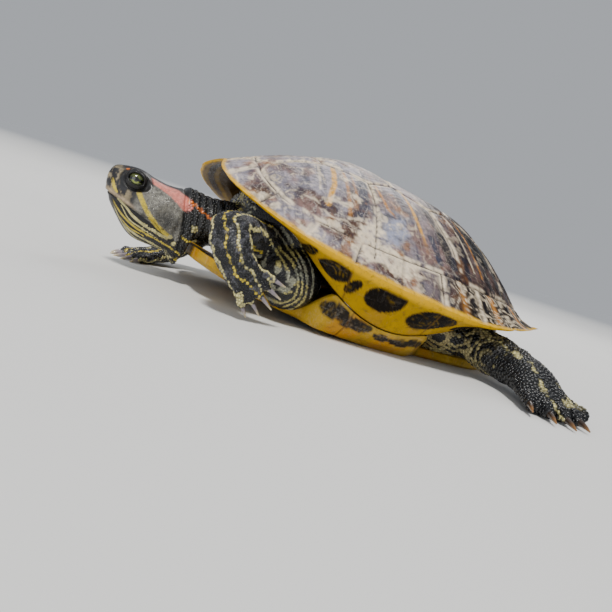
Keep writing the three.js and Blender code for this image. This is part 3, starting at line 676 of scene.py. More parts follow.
def build_carapace():
    """The carapace with its seams, growth rings, flared marginals and lower faces."""
    half, top_rows, under_rows, wall_rows = 330, 160, 26, 8
    t = np.concatenate([np.linspace(0, 1, half + 1), np.linspace(1, 0, half + 1)[1:-1]])
    side = np.concatenate([-np.ones(half + 1), np.ones(half - 1)])
    mirror = np.stack([np.ones_like(side), side, np.ones_like(side)], -1)
    climbs = 1 - np.linspace(0, 1, top_rows) ** 0.92
    top = np.array([dome_point(t, c) * mirror for c in climbs])
    shares = np.linspace(0, 1, under_rows + 1)[1:] ** 1.4
    under = []
    for share in shares:
        lip = min(share / 0.12, 1)
        drop = 1.2 * (1 - (1 - lip) ** 2) * (1 - ease(share, 0.12, 1))
        across = rim_point(t) + (hem_point(t) - rim_point(t)) * share
        under.append((across - np.array([0, 0, drop])) * mirror)
    lowest = lerp(0.3, 0.16, bridge_share(t))
    walls = [dome_point(t, lerp(lowest, 0.98, s), WALL) * mirror for s in np.linspace(0, 1, wall_rows)]
    rows = np.concatenate([top, under, walls])
    columns = len(t)
    points = rows.reshape(-1, 3)

    dome = Dome()
    n_top = top_rows * columns
    all_t, all_side = np.tile(t, len(rows)), np.tile(side, len(rows))
    climb = np.repeat(climbs, columns)
    p = points[:n_top]
    scute = scute_of(all_t[:n_top], climb, p)
    twin = mirrored(p)
    seam = nearest(twin, seam_points(dome))
    centre = dome.drop(AREOLES)[np.clip(scute, 0, 8)]
    index = np.clip(scute - 10, 0, MARGINALS - 1)
    outer = dome_point((index + 0.7) / MARGINALS, 0.03)
    centre = np.where((scute >= 9)[:, None], outer, centre)
    away = np.linalg.norm(twin - centre, axis=1)
    ring = away / (away + seam + 1e-6)
    turn = np.arctan2(np.hypot(twin[:, 1] - centre[:, 1], twin[:, 2] - centre[:, 2])
                      * np.sign(twin[:, 1] - centre[:, 1]), twin[:, 0] - centre[:, 0])

    # relief: seams sink, each scute swells a little and carries growth rings
    rings = np.sin(2 * math.pi * (ring * 9 + 0.8 * noise(p, 14, 2, 3)))
    rings = rings * ease(seam, 0.6, 3) * ease(away, 3, 9)
    keel = bump(p[:, 1], 4.5) * (climb > 0.6) * (0.4 + 0.6 * ease(ring, 1.0, 0.2))
    relief = -0.75 * bump(seam, 0.75) + 0.55 * (1 - np.exp(-seam / 4)) + 0.075 * rings + 0.35 * keel
    relief += 0.35 * (noise(p, 6, 3, 60) - 0.5) - 0.75
    relief *= ease(climb, 0.0, 0.02)
    obj = make_mesh("carapace_plates", points, grid_faces(len(rows), columns))
    normal = normals_of(obj)[:n_top]
    normal *= np.where(normal[:, 2:3] < 0, -1, 1)
    points[:n_top] += normal * relief[:, None]
    set_vertices(obj, points)

    colour, wear = carapace_colours(dome, p, all_t[:n_top], climb, scute, seam, all_side[:n_top])
    below = points[n_top:n_top + under_rows * columns]
    low = underside_colours(below, np.tile(t, under_rows), np.repeat(shares, columns))
    low = mix_colour(low, RIM_YELLOW, 1 - ease(np.repeat(shares, columns), 0.04, 0.16))
    inner = np.tile(srgb(60, 48, 34), (wall_rows * columns, 1))
    store(obj, "colour", np.vstack([colour, low, inner]))
    rest = len(points) - n_top
    store(obj, "wear", np.concatenate([wear, np.full(rest, 0.04)]))
    shift = np.concatenate([scute * 7.3, np.full(rest, 3.0)])
    growth = np.column_stack([np.cos(turn), np.sin(turn), ring])
    growth = np.vstack([growth, points[n_top:] / 60])
    growth[:, :2] += shift[:, None]
    store(obj, "growth", growth)
    weld(obj)
    finish_piece(obj, horn("carapace_horn", 0.16, 0.22), ["carapace"])


def weld(obj, distance=2e-5):
    """Joins doubled points and turns every face outwards."""
    mesh = bmesh.new()
    mesh.from_mesh(obj.data)
    bmesh.ops.remove_doubles(mesh, verts=mesh.verts, dist=distance)
    bmesh.ops.recalc_face_normals(mesh, faces=mesh.faces)
    mesh.to_mesh(obj.data)
    mesh.free()
    obj.data.update()


# ------------------------------------------------------------ the plastron
# Seams in plan: the midline, then those that cross it, each with its mirror.
PLASTRON_SEAMS = [[(2, 0.6), (60, -0.8), (120, 0.9), (204, 0)]]
for half_seam in ([(20, 0), (13, 14), (5, 31)], [(46, 0), (44, 30), (41, 70)],
                  [(79, 0), (77, 40), (75, 80)], [(125, 0), (128, 30), (133, 80)],
                  [(160, 0), (165, 20), (173, 50)]):
    PLASTRON_SEAMS += [half_seam, [(x, -y) for x, y in half_seam]]
# Dark blotches of the near half: centre and reach, then the same mirrored.
PLASTRON_BLOTCHES = (
    ((12, 15, 4), (9, 11, 40)), ((33, 30, 2), (11, 15, 40)), ((63, 30, -4), (13, 19, 9)),
    ((102, 31, -4), (17, 20, 9)), ((147, 29, 0), (14, 16, 40)), ((183, 19, 2), (13, 11, 40)),
    ((68, 66, 8.4), (8.4, 12, 4.6)), ((80, 66, 5.8), (9, 12, 4.2)), ((95, 66, 3.6), (5.5, 9, 2.2)),
    ((106, 66, 4.4), (8, 9, 2.5)), ((115, 66, 6.6), (7.5, 9, 2.7)),
)


def plastron_section(x):
    """Half width, share of the bridge and height of the lower face at x."""
    front_x, rear_x = PLASTRON["front_x"], PLASTRON["rear_x"]
    nose = math.sqrt(max(0, 1 - ((front_x + 26 - x) / 26) ** 2)) if x < front_x + 26 else 1
    tail = 1 - 0.42 * ease(x, 160, rear_x) ** 1.3
    bridge = (ease(x, PLASTRON["bridge_front"] - 5, PLASTRON["bridge_front"] + 5)
              * (1 - ease(x, PLASTRON["bridge_rear"] - 10, PLASTRON["bridge_rear"] + 6)))
    half_width = lerp(PLASTRON["lobe"] * (0.5 + 0.5 * nose) * tail, PLASTRON["bridge"], bridge)
    ahead = max(0, (PLASTRON["sag_x"] - x) / (PLASTRON["sag_x"] - front_x))
    return half_width, bridge, max(PLASTRON["sag"] + PLASTRON["tip_rise"] * ahead ** 1.8, floor_at(x) - 0.4)


def build_plastron():
    """The plastron with its wings, sunken seams and blotches."""
    hem = hem_point(np.linspace(0, 1, 1201))
    # more rows at the ends, where the outline turns
    xs = lerp(PLASTRON["front_x"], PLASTRON["rear_x"], ease(np.linspace(0, 1, 340), -0.35, 1.35))
    xs = (xs - xs[0]) / (xs[-1] - xs[0]) * (PLASTRON["rear_x"] - PLASTRON["front_x"])
    xs = xs + PLASTRON["front_x"]
    count, lower, near = 64, 36, []
    for x in xs:
        half_width, bridge, level = plastron_section(x)
        seam_y, seam_z = (np.interp(np.clip(x, 30, 170), hem[:, 0], hem[:, axis]) for axis in (1, 2))
        inside = level + PLASTRON["thick"]
        top = lerp(inside, seam_z - 2 * GAP, bridge)
        out = lerp(half_width, seam_y - 0.4, bridge)
        wing = (lerp(half_width + 0.3, (half_width + out) / 2 + 0.9, bridge),
                lerp(level + 3, (level + top) / 2, bridge))
        profile = np.array([
            (0, level), (half_width * 0.5, level), (half_width - 9, level),
            (half_width - 3, level + 0.2), (half_width, level + 1.8), wing, (out, top),
            (out - lerp(3, 4, bridge), top - 0.3), (half_width - 6, inside + bridge),
            (half_width * 0.5, inside), (0, inside)])
        y, z = smooth_row(profile, count).T
        near.append(np.column_stack([np.full(count, x), y, np.minimum(z, max(top, inside))]))
    near = np.array(near)
    ring = np.concatenate([near, near[:, -2:0:-1] * np.array([1, -1, 1])], 1)
    columns = ring.shape[1]
    points = ring.reshape(-1, 3)
    seam = np.min([segment_distance(points[:, :2], line)[0] for line in PLASTRON_SEAMS], axis=0)
    outer = np.concatenate([np.ones(lower), np.zeros(columns - 2 * lower + 1), np.ones(lower - 1)])
    rings = np.sin(seam * 1.5 + 2 * noise(points, 12, 2, 4)) * ease(seam, 1, 3)
    relief = -0.5 * bump(seam, 0.55) + 0.03 * rings + 0.2 * (noise(points, 7, 3, 8) - 0.5) - 0.1
    relief = np.tile(outer, len(xs)) * relief
    ends = []
    for start, way in ((0, -1), ((len(xs) - 1) * columns, 1)):
        for i in range(count - 1):
            far = [start + (columns - i - 1) % columns, start + (columns - i) % columns]
            ends.append([start + i, start + i + 1, *far][::way])
    obj = make_mesh("plastron_plates", points, np.vstack([grid_faces(len(xs), columns), ends]))
    weld(obj, 1e-6)
    lookup = tree_of(points)
    points, normal = vertices_of(obj), normals_of(obj)
    index = np.array([lookup.find(p)[1] for p in points])
    points += normal * relief[index][:, None]
    points[:, 2] = np.maximum(points[:, 2], floor_at(points[:, 0]) + 0.01)
    set_vertices(obj, points)

    colour = tinted(SHELL_YELLOW, 0.8 + 0.4 * noise(points, 4, 3, 6))
    colour = mix_colour(colour, srgb(206, 172, 60), ease(noise(points, 16, 3, 19), 0.45, 0.7) * 0.45)
    colour = mix_colour(colour, srgb(196, 120, 0), ease(noise(points, 9, 3, 39), 0.55, 0.7) * 0.4)
    uneven = mirrored(points) + (noise(points, 8, 2, 71) - 0.5)[:, None] * 3
    colour = blackened(colour, points, blotched(uneven, PLASTRON_BLOTCHES, 13))
    colour = mix_colour(colour, srgb(88, 60, 22), 0.75 * (1 - ease(seam[index], 0.25, 0.6)))
    store(obj, "colour", colour)
    store(obj, "wear", np.full(len(points), 0.12))
    store(obj, "growth", points / 45)
    finish_piece(obj, horn("plastron_horn", 0.07, 0.33), ["plastron"])


# ------------------------------------------------------------ flesh as lofts
# A station is (x, y, z, reach sideways, up, down, and optionally its own "up" direction).
UP = (0.0, 0.0, 1.0)
TRUNK = [(20, 0, 27, 26, 20, 13), (34, 0, 31, 46, 31, 22), (60, 0, 32, 50, 32, 24),
         (85, 0, 30, 30, 22, 16), (112, 0, 28, 30, 22, 14), (124, 0, 28, 48, 26, 20),
         (140, 0, 28, 52, 30, 20), (156, 0, 28, 48, 34, 20),
         (180, 0, 26, 40, 24, 16), (194, 0, 22, 26, 15, 10)]
HEAD = [(-49.2, -1, 28.8, 3.4, 4.6, 5), (-47.9, -1, 27.3, 5.6, 8.1, 7.2), (-45, -1, 26, 8, 10.7, 9.8),
        (-40, -1, 25, 10.8, 12.4, 14.2), (-34, -1, 24, 13, 13.7, 18.8), (-28, -1, 22, 14.6, 14.6, 19.8),
        (-20, -1, 20, 15.8, 15.7, 18.6), (-13, -1, 19, 15.8, 17.4, 17.8), (-9.5, -1, 19.5, 15.4, 18.6, 17.8),
        (-6, -1, 18, 16.4, 20.6, 20.6), (-2.5, -1, 18, 17.8, 20.2, 21.5), (0, -0.5, 20, 18.4, 18, 10),
        (6, 0, 24, 19.5, 14, 11), (24, 0, 27, 21, 14, 12.5)]
TAIL = [(182, 0, 19, 9, 8, 8), (199, 3, 17, 7.4, 6.4, 6.4), (209.5, 13, 12.5, 5.2, 4.6, 4.6),
        (209, 26, 9, 3.4, 3.2, 3.2)]
# Loose skin behind each foreleg and before each hind leg: its middle and reach.
POCKETS = (((46, 46.5, 14), (17, 16.5, 16.5)), ((142, 45, 16), (20, 20, 12.5)))
LIMBS = {
    "foreleg_left": dict(kind="fore", side=-1, heading=(0.84, -0.12, -0.53),
                         back=(-0.35, -0.93, 0.1), flatten=0.0,
                         stations=[(36, -34, 25, 12, 11, 11, UP), (20, -49, 28, 11.5, 9, 9, (-0.1, 0, 1)),
                                   (4, -63, 29, 10.6, 6.6, 6.6, (-0.6, -0.5, 0.65)),
                                   (6, -69.5, 20, 9.8, 6.4, 6.4), (13, -71, 12, 9, 5.8, 5.8)]),
    "foreleg_right": dict(kind="fore", side=1, heading=(-0.87, -0.36, -0.31),
                          back=(-0.3, -0.12, 1.0), flatten=0.7,
                          stations=[(36, 34, 24, 11.5, 11, 11), (23, 54, 17, 11, 9.5, 9.5),
                                    (12, 59, 5.5, 10, 7.4, 7.4), (2, 51, -3.5, 9, 6, 6),
                                    (-8, 41, -7.4, 8.4, 4.8, 4.8)]),
    "hindleg_left": dict(kind="hind", side=-1, heading=(-0.1, -0.97, -0.29),
                         back=(-0.07, -0.1, 1.0), flatten=0.8,
                         stations=[(146, -34, 18, 15, 12, 9), (157, -52, 17, 15.5, 11.5, 10),
                                   (165, -70, 15, 14.5, 11, 11), (169, -84, 13.5, 13.5, 10, 10),
                                   (169, -97, 12.5, 13.5, 9, 9)]),
    "hindleg_right": dict(kind="hind", side=1, heading=(0.62, 0.75, -0.17),
                          back=(-0.07, 0, 1.0), flatten=0.8,
                          stations=[(146, 34, 18, 14.5, 12, 9), (154, 52, 17, 14.5, 11, 9.5),
                                    (163, 63, 15, 13, 10.5, 10.5), (175, 68, 13, 12.4, 9.5, 9.5),
                                    (186, 76, 11, 12.4, 8.6, 8.6)]),
}
FEET = {
    "fore": dict(palm=[(6, 9.4, 4.8), (12, 9.8, 3.7)], palm_end=1.8, across=4.0, fan=0.17,
                 start=[9.5] * 5, length=[5, 6.5, 7, 6.5, 5], radius=[2.4] * 5, claw=[6, 7.5, 8, 7.5, 6],
                 claw_radius=1.1),
    "hind": dict(palm=[(12, 15, 7), (24, 17, 5), (31, 17.5, 3.6)], palm_end=2.4, across=7.2, fan=0.13,
                 start=[24, 27, 28, 27, 22], length=[8, 10, 10.5, 9.5, 8], radius=[3.1, 3.3, 3.3, 3.1, 2.8],
                 claw=[9, 10, 10, 9, 0], claw_radius=1.4),
}


def capped(rows, end, extra):
    """Rows with extra ones beyond the first (end 0) or the last (end -1), the nearest given first."""
    return np.vstack([rows, extra]) if end else np.vstack([extra[::-1], rows])


def loft(stations, normal=UP, sides=40, steps=10, power=1.0, upright=False, shrink=COAT, ends=(0.0, 0.0)):
    """A closed tube of triangles through the stations. `ends` rounds its two ends by that much."""
    full = [tuple(s[:6]) + tuple(s[6] if len(s) > 6 else normal) for s in stations]
    table = smooth_row(full, (len(full) - 1) * steps + 1)
    centre, reach, back = table[:, :3], np.maximum(table[:, 3:6] - shrink, 0.4), table[:, 6:9]
    tangent = np.tile((1.0, 0, 0), (len(table), 1)) if upright else unit(np.gradient(centre, axis=0))
    turns = np.radians([22, 42, 60, 76])
    for end, size in ((0, -ends[0]), (-1, ends[1])):
        if size:
            bulge = [centre[end] + tangent[end] * size * math.sin(turn) for turn in turns]
            centre = capped(centre, end, bulge)
            reach = capped(reach, end, [reach[end] * math.cos(turn) for turn in turns])
            back, tangent = (capped(rows, end, rows[[end] * len(turns)]) for rows in (back, tangent))
    side = unit(np.cross(back, tangent))
    up = np.cross(tangent, side)
    angle = 2 * math.pi * (np.arange(sides) + 0.5) / sides
    c = np.sign(np.cos(angle)) * np.abs(np.cos(angle)) ** power
    s = np.sign(np.sin(angle)) * np.abs(np.sin(angle)) ** power
    height = np.where(s > 0, reach[:, 1:2], reach[:, 2:3]) * s
    rings = centre[:, None] + side[:, None] * (reach[:, :1] * c)[..., None]
    rings = rings + up[:, None] * height[..., None]
    points = np.vstack([rings.reshape(-1, 3), rings[0].mean(0), rings[-1].mean(0)])
    quads = grid_faces(len(rings), sides)
    faces = [quads[:, [0, 1, 2]], quads[:, [0, 2, 3]]]
    step = np.arange(sides)
    n = len(rings) * sides
    faces.append(np.stack([np.full(sides, n), (step + 1) % sides, step], -1))
    faces.append(np.stack([np.full(sides, n + 1), n - sides + step, n - sides + (step + 1) % sides], -1))
    faces = np.vstack(faces)
    a, b, c = points[faces[:, 0]], points[faces[:, 1]], points[faces[:, 2]]
    if np.einsum("ij,ij->i", a, np.cross(b, c)).sum() < 0:
        faces = faces[:, ::-1]
    return points, faces


class Foot:
    """A foot's own axes, and where each toe and claw goes."""

    def __init__(self, limb):
        self.kind, self.side, self.flatten = FEET[limb["kind"]], limb["side"], limb["flatten"]
        self.start = np.array(limb["stations"][-1][:3], float)
        self.forward = unit(limb["heading"])
        self.across = unit(np.cross(limb["back"], self.forward))
        self.upward = np.cross(self.forward, self.across)

    def point(self, along, across, above):
        return self.start + self.forward * along + self.across * across + self.upward * above

    def palm(self):
        return [(*self.point(a, 0, 0), wide, up, up) for a, wide, up in self.kind["palm"]]

    def toe(self, number):
        """Base, heading and tip of one toe, the first being the innermost."""
        kind = self.kind
        turn = -(number - 2) * kind["fan"] * self.side
        heading = self.forward * math.cos(turn) + np.cross(self.upward, self.forward) * math.sin(turn)
        floor_normal = np.array([-math.sin(LEAN), 0, math.cos(LEAN)])
        heading = unit(heading - self.flatten * (heading @ floor_normal) * floor_normal)
        base = self.point(kind["start"][number], -(number - 2) * kind["across"] * self.side, 0.4)
        return base, heading, base + heading * kind["length"][number] - self.upward * 0.9


def limb_lofts(limb):
    """One tube for a leg with its palm, and one for each toe."""
    foot = Foot(limb)
    kind = foot.kind
    parts = [loft(limb["stations"] + foot.palm(), limb["back"], ends=(0, kind["palm_end"]))]
    for number in range(5):
        base, heading, tip = foot.toe(number)
        r, length = kind["radius"][number], kind["length"][number]

        def at(along, above, wide, high):
            return (*(base + heading * along + foot.upward * above), r * wide, r * high, r * high)

        knuckles = [at(-6, 0, 0.9, 0.8), at(-1, 0.7, 1.02, 1.0), at(length * 0.25, 0.35, 0.92, 0.92),
                    at(length * 0.55, 0.5, 1.04, 1.04), at(length * 0.8, -0.35, 0.86, 0.86),
                    (*tip, r * 0.8, r * 0.8, r * 0.8)]
        parts.append(loft(knuckles, foot.upward, sides=20, steps=5, shrink=0.3, ends=(0, r * 0.45)))
    return parts


# ------------------------------------------------------------ the skin
VOXEL = 0.62    # cell of the remeshed skin
CENTRE_STEPS = 60                      # points of each limb's middle line
EYE = dict(x=-36.6, out=8.0, z=31.2, radius=5.2)
MOUTH = dict(x=-30.0, z=15.8, slope=math.tan(math.radians(15.7)))


def joined(parts):
    """Several meshes of points and faces as one."""
    points, faces, count = [], [], 0
    for p, f in parts:
        points.append(p)
        faces.append(f + count)
        count += len(p)
    return np.vstack(points), np.vstack(faces)


def remesh(obj, size):
    """Turns overlapping closed tubes into one even mesh of their outer skin."""
    modifier = obj.modifiers.new("Skin", "REMESH")
    modifier.mode = "VOXEL"
    modifier.voxel_size = size / 1000
    modifier.use_smooth_shade = True
    shown = obj.evaluated_get(bpy.context.evaluated_depsgraph_get())
    mesh = bpy.data.meshes.new_from_object(shown)
    obj.modifiers.clear()
    old, obj.data = obj.data, mesh
    bpy.data.meshes.remove(old)


def relax(obj, rounds):
    """Moves every vertex half way to the mean of its neighbours, and returns the points."""
    points, edges = vertices_of(obj), numbers_of(obj.data.edges, "vertices", 2, np.int32)
    count = np.maximum(np.bincount(edges.ravel(), minlength=len(points)), 1)[:, None]
    for _ in range(rounds):
        total = np.zeros_like(points)
        for axis in range(3):
            total[:, axis] = (np.bincount(edges[:, 0], points[edges[:, 1], axis], len(points))
                              + np.bincount(edges[:, 1], points[edges[:, 0], axis], len(points)))
        points = points + (total / count - points) * 0.5
    set_vertices(obj, points)
    return points


def refine(obj, chosen):
    """Splits every edge between the chosen vertices once."""
    mesh = bmesh.new()
    mesh.from_mesh(obj.data)
    mesh.verts.ensure_lookup_table()
    edges = [e for e in mesh.edges if chosen[e.verts[0].index] and chosen[e.verts[1].index]]
    bmesh.ops.subdivide_edges(mesh, edges=edges, cuts=1, use_grid_fill=True, smooth=0.0)
    bmesh.ops.triangulate(mesh, faces=[f for f in mesh.faces if len(f.verts) > 4])
    mesh.to_mesh(obj.data)
    mesh.free()
    obj.data.update()
    obj.data.polygons.foreach_set("use_smooth", np.ones(len(obj.data.polygons), bool))


def centre_row(limb):
    """The middle line of a limb from trunk to toes, with its reach sideways."""
    return smooth_row([s[:6] for s in limb["stations"] + Foot(limb).palm()], CENTRE_STEPS)


CENTRES = {name: centre_row(limb) for name, limb in LIMBS.items()}


def limb_place(points, name):
    """Distance from a limb's middle line in reaches, place along it (0 to 1) and angle round it."""
    row, limb = CENTRES[name], LIMBS[name]
    stations = limb["stations"] + Foot(limb).palm()
    back = smooth_row([s[6] if len(s) > 6 else limb["back"] for s in stations], CENTRE_STEPS)
    tangent = unit(np.gradient(row[:, :3], axis=0))
    side = unit(np.cross(back, tangent))
    up = np.cross(tangent, side)
    d, along, angle = np.full(len(points), 1e9), np.zeros(len(points)), np.zeros(len(points))
    for i in range(CENTRE_STEPS):
        offset = points - row[i, :3]
        far = np.linalg.norm(offset, axis=1)
        nearer = far < d
        d = np.where(nearer, far, d)
        along = np.where(nearer, i / (CENTRE_STEPS - 1), along)
        angle = np.where(nearer, np.arctan2(offset @ up[i], offset @ side[i]), angle)
    reach = np.interp(along, np.linspace(0, 1, CENTRE_STEPS), row[:, 3])
    return d / reach, along, angle * limb["side"]


def mouth_level(x):
    """Height of the line of the mouth, which sinks towards the back of the head."""
    return MOUTH["z"] - MOUTH["slope"] * (x - MOUTH["x"])


def eye_axes(side):
    """An eye's centre, and the directions along the lids, up across them and out of the eye."""
    centre = np.array([EYE["x"], HEAD_Y + side * EYE["out"], EYE["z"]])
    gaze = unit((-0.16, side, 0.16))
    along = unit(np.cross(gaze, (0, 0, 1)))
    return centre, along, np.cross(along, gaze), gaze


# Creases round the neck: place along x, depth and width.
NECK_FOLDS = ((-4.3, 0.75, 0.7), (-0.8, 0.9, 0.8), (3.0, 1.0, 0.9), (7.4, 0.9, 1.0), (12, 0.7, 1.2))


def head_relief(p, normal):
    """Lids, eye sockets, mouth line, nostrils, eardrum and folds of the head and neck."""
    x, y, z = mirrored(p, HEAD_Y).T
    move = np.zeros(len(p))
    head = 1 - ease(x, -12, -8)
    # mouth: a groove, with the beak's cutting edge standing over the lower jaw
    curve = 1.6 * bump(x + 22, 6) - 2.2 * ease(x, -24, -12)
    below = mouth_level(x) + curve - z
    reach = 1 - ease(x, -19, -14)
    move -= 0.75 * bump(below, 0.42) * reach
    move += 0.4 * bump(below + 1.3, 0.8) * reach
    move -= 0.35 * bump(below - 1.6, 1.1) * reach
    # brow, cheek and eardrum
    brow = np.hypot((x + 37) / 7.5, (z - 36.4) / 2.0)
    move += 0.65 * bump(brow, 1.0) * (y > 2.5)
    drum = np.hypot((x + 17) / 5.2, (z - 20.5) / 5.0)
    move -= 0.55 * bump(drum, 0.75) * (y > 8)
    move += 0.3 * bump(drum - 1.15, 0.25) * (y > 8)
    move += 0.35 * (noise(p, 5.0, 3, 3) - 0.5) * head
    # nostrils
    nose = np.linalg.norm(np.column_stack([x + 49.6, y - 2.0, z - 29.6]), axis=1)
    move -= 1.1 * bump(nose, 0.75)
    move += 0.25 * bump(nose - 1.3, 0.5)
    # the crease behind the head and the collar of folds on the neck
    warp = 1.6 * (noise(p, 9, 3, 40) - 0.5)
    crease = x + 8.4 + 0.16 * (z - 22) + warp
    move -= 1.3 * bump(crease, 0.8)
    for place, depth, width in NECK_FOLDS:
        move -= depth * bump(x - place + 0.1 * (z - 22) + 1.5 * warp, width)
    throat = ease(-z, -12, -4) * ease(x, -24, -14) * (1 - ease(x, 6, 12))
    move += throat * 0.5 * (noise(np.column_stack([x * 2, p[:, 1], z]), 5, 2, 77) - 0.5)
    out = p + normal * move[:, None]
    # lids: the skin wraps the eyeball and opens over an almond
    cos, sin = math.cos(0.16), math.sin(0.16)
    radius = EYE["radius"] + 0.12
    for side in (-1, 1):
        centre, along, rise, gaze = eye_axes(side)
        depth, u, w = ((p - centre) @ axis for axis in (gaze, along, rise))
        u, w = u * cos - w * sin * side, w * cos + u * sin * side
        opening = np.hypot(u / 4.15, w / np.where(w > 0, 3.1, 2.75))
        facing = (depth > -1.5) & (side * (p[:, 1] - HEAD_Y) > 0)
        lid = radius + (0.62 * bump(opening - 1.12, 0.16) + 0.42 * bump(opening - 1.5, 0.17))
        away = np.hypot(u, w)
        lift = np.sqrt(np.maximum(lid ** 2 - np.minimum(away, lid * 0.98) ** 2, 0.01))
        pit = np.sqrt(np.maximum((radius - 1.6) ** 2 - np.minimum(away, radius - 1.7) ** 2, 0.01))
        lift = np.where(opening < 1.0, lerp(lift, pit, 1 - ease(opening, 0.92, 1.0)), lift)
        share = facing * (1 - ease(opening, 1.5, 2.15))
        target = lerp(depth, lift, share)
        out += gaze * (np.where(facing, target - depth, 0) * (opening < 2.2))[:, None]
    return out


def body_relief(p, normal):
    """Folds of the limbs' skin and of the pockets under the shell."""
    move = 0.5 * (noise(p, 7, 3, 90) - 0.5)
    for name, limb in LIMBS.items():
        d, along, angle = limb_place(p, name)
        near = 1 - ease(d, 1.2, 1.5)
        ripple = np.sin(along * 46 + 2.2 * np.sin(angle + 1) + 3 * noise(p, 12, 2, 31))
        upper = 1 - ease(along, 0.35, 0.6)
        move += near * (0.28 * upper + 0.12) * ripple
    pocket = ease(np.abs(p[:, 1]), 18, 30) * (bump(p[:, 0] - 34, 14) + bump(p[:, 0] - 176, 16))
    ridge = noise(np.column_stack([p[:, 0], p[:, 1] * 0.45, p[:, 2] * 0.45]), 6, 3, 55)
    move += pocket * 2.4 * (ridge - 0.5)
    return p + normal * move[:, None]


def build_skin():
    """One skin over head, neck, trunk, tail, legs and feet, without a seam."""
    parts = [loft(TRUNK, power=0.85, upright=True, steps=5, ends=(0, 5)),
             loft(HEAD, power=0.92, upright=True, sides=64, ends=(0.6, 0)),
             loft(TAIL, ends=(0, 2.5))]
    for limb in LIMBS.values():
        parts += limb_lofts(limb)
    for (x, y, z), reach in POCKETS:
        a, b, c = (r - COAT for r in reach)
        for side in (-1, 1):
            rows = [(x - a * math.cos(turn), side * y, z, *(math.sin(turn) * r for r in (b, c, c)))
                    for turn in np.linspace(0.12, math.pi - 0.12, 13)]
            parts.append(loft(rows, upright=True, shrink=0))
    points, faces = joined(parts)
    obj = make_mesh("turtle_skin", points, faces)
    remesh(obj, VOXEL)
    p = relax(obj, 5)
    refine(obj, (p[:, 0] < -9) & (p[:, 2] > 0) & (np.abs(p[:, 1] - HEAD_Y) < 18))
    p, normal = relax(obj, 2), normals_of(obj)
    head = 1 - ease(p[:, 0], 10, 22)
    moved = head_relief(p, normal)
    p = np.where((p[:, 0:1] < 24) & (np.abs(p[:, 1:2]) < 24), lerp(p, moved, head[:, None]), p)
    body = ease(p[:, 0], -12, 2) + (np.abs(p[:, 1]) > 24)
    p = lerp(p, body_relief(p, normal), np.clip(body, 0, 1)[:, None])
    p[:, 2] = np.maximum(p[:, 2], floor_at(p[:, 0]) + COAT * 0.6)
    set_vertices(obj, p)
    return obj


# ------------------------------------------------------------ the skin's markings
SKIN_BLACK = srgb(10, 11, 14)
SKIN_CREAM = srgb(206, 196, 134)
SKIN_YELLOW = srgb(212, 188, 60)
SALMON = srgb(230, 136, 120)
ORANGE = srgb(228, 120, 36)
CHARCOAL = srgb(34, 33, 36)
SNOUT_TAN = srgb(164, 148, 114)
CHEEK = srgb(140, 137, 127)
BEAK = srgb(176, 154, 124)

# Lines on the side of the head and neck, as (x, z): points, half width at each end, colour.
HEAD_LINES = (
    ([(-29.4, 34.3), (-22.5, 33.4), (-16.5, 32.2), (-9.2, 29.3)], 1.2, 3.5, SALMON),
    ([(-8.4, 31.4), (-3.9, 30.3), (2.1, 27.9), (8.0, 25.6)], 1.0, 0.5, ORANGE),
    ([(-33.9, 26.3), (-31.1, 23.0), (-26.7, 18.4), (-20.2, 13.8), (-12.4, 10.6)], 1.25, 1.05, SKIN_YELLOW),
    ([(-41.9, 19.4), (-37.2, 17.0), (-32.2, 13.8), (-24.9, 11.4), (-13.0, 9.2)], 0.5, 0.85, SKIN_CREAM),
    ([(-44.3, 18.2), (-41.1, 15.2), (-35.6, 11.4), (-27.6, 8.4), (-14.9, 6.3), (-4, 4)],
     0.4, 0.5, SKIN_YELLOW),
    ([(-45.2, 16.4), (-42.0, 12.6), (-36.1, 8.4), (-27.7, 5.2), (-16.2, 3.4), (-6, 0)], 0.4, 0.6, SKIN_CREAM),
    ([(-45.4, 14.6), (-40.1, 9.8), (-33.8, 4.9), (-29.3, 3.0), (-20, 1.4)], 0.4, 0.5, SKIN_YELLOW),
    ([(-39.5, 16.9), (-33.5, 11.6), (-26, 9.5), (-17, 7.4)], 0.25, 0.3, SKIN_CREAM),
    ([(-43.0, 15.0), (-38.5, 11.2), (-32, 7.6), (-24, 6.1)], 0.25, 0.3, SKIN_YELLOW),
    ([(-47.6, 27.8), (-45.8, 24.6), (-43.6, 22.4)], 0.8, 0.5, SKIN_YELLOW),
    ([(-6.6, 13.0), (-2.0, 11.8), (4, 12.5)], 0.4, 0.3, SKIN_YELLOW),
)
# Spots on the side of the head and neck, as (x, z), reach and colour.
HEAD_SPOTS = (((-42.2, 35.4), 0.95, ORANGE), ((-1.7, 19.1), 1.7, SKIN_CREAM),
              ((-11.5, 10.6), 1.3, SKIN_CREAM), ((-8.4, 7.6), 1.2, SKIN_CREAM),
              ((-3.7, 0.2), 1.0, SKIN_YELLOW), ((2.5, 4.2), 0.9, SKIN_YELLOW))


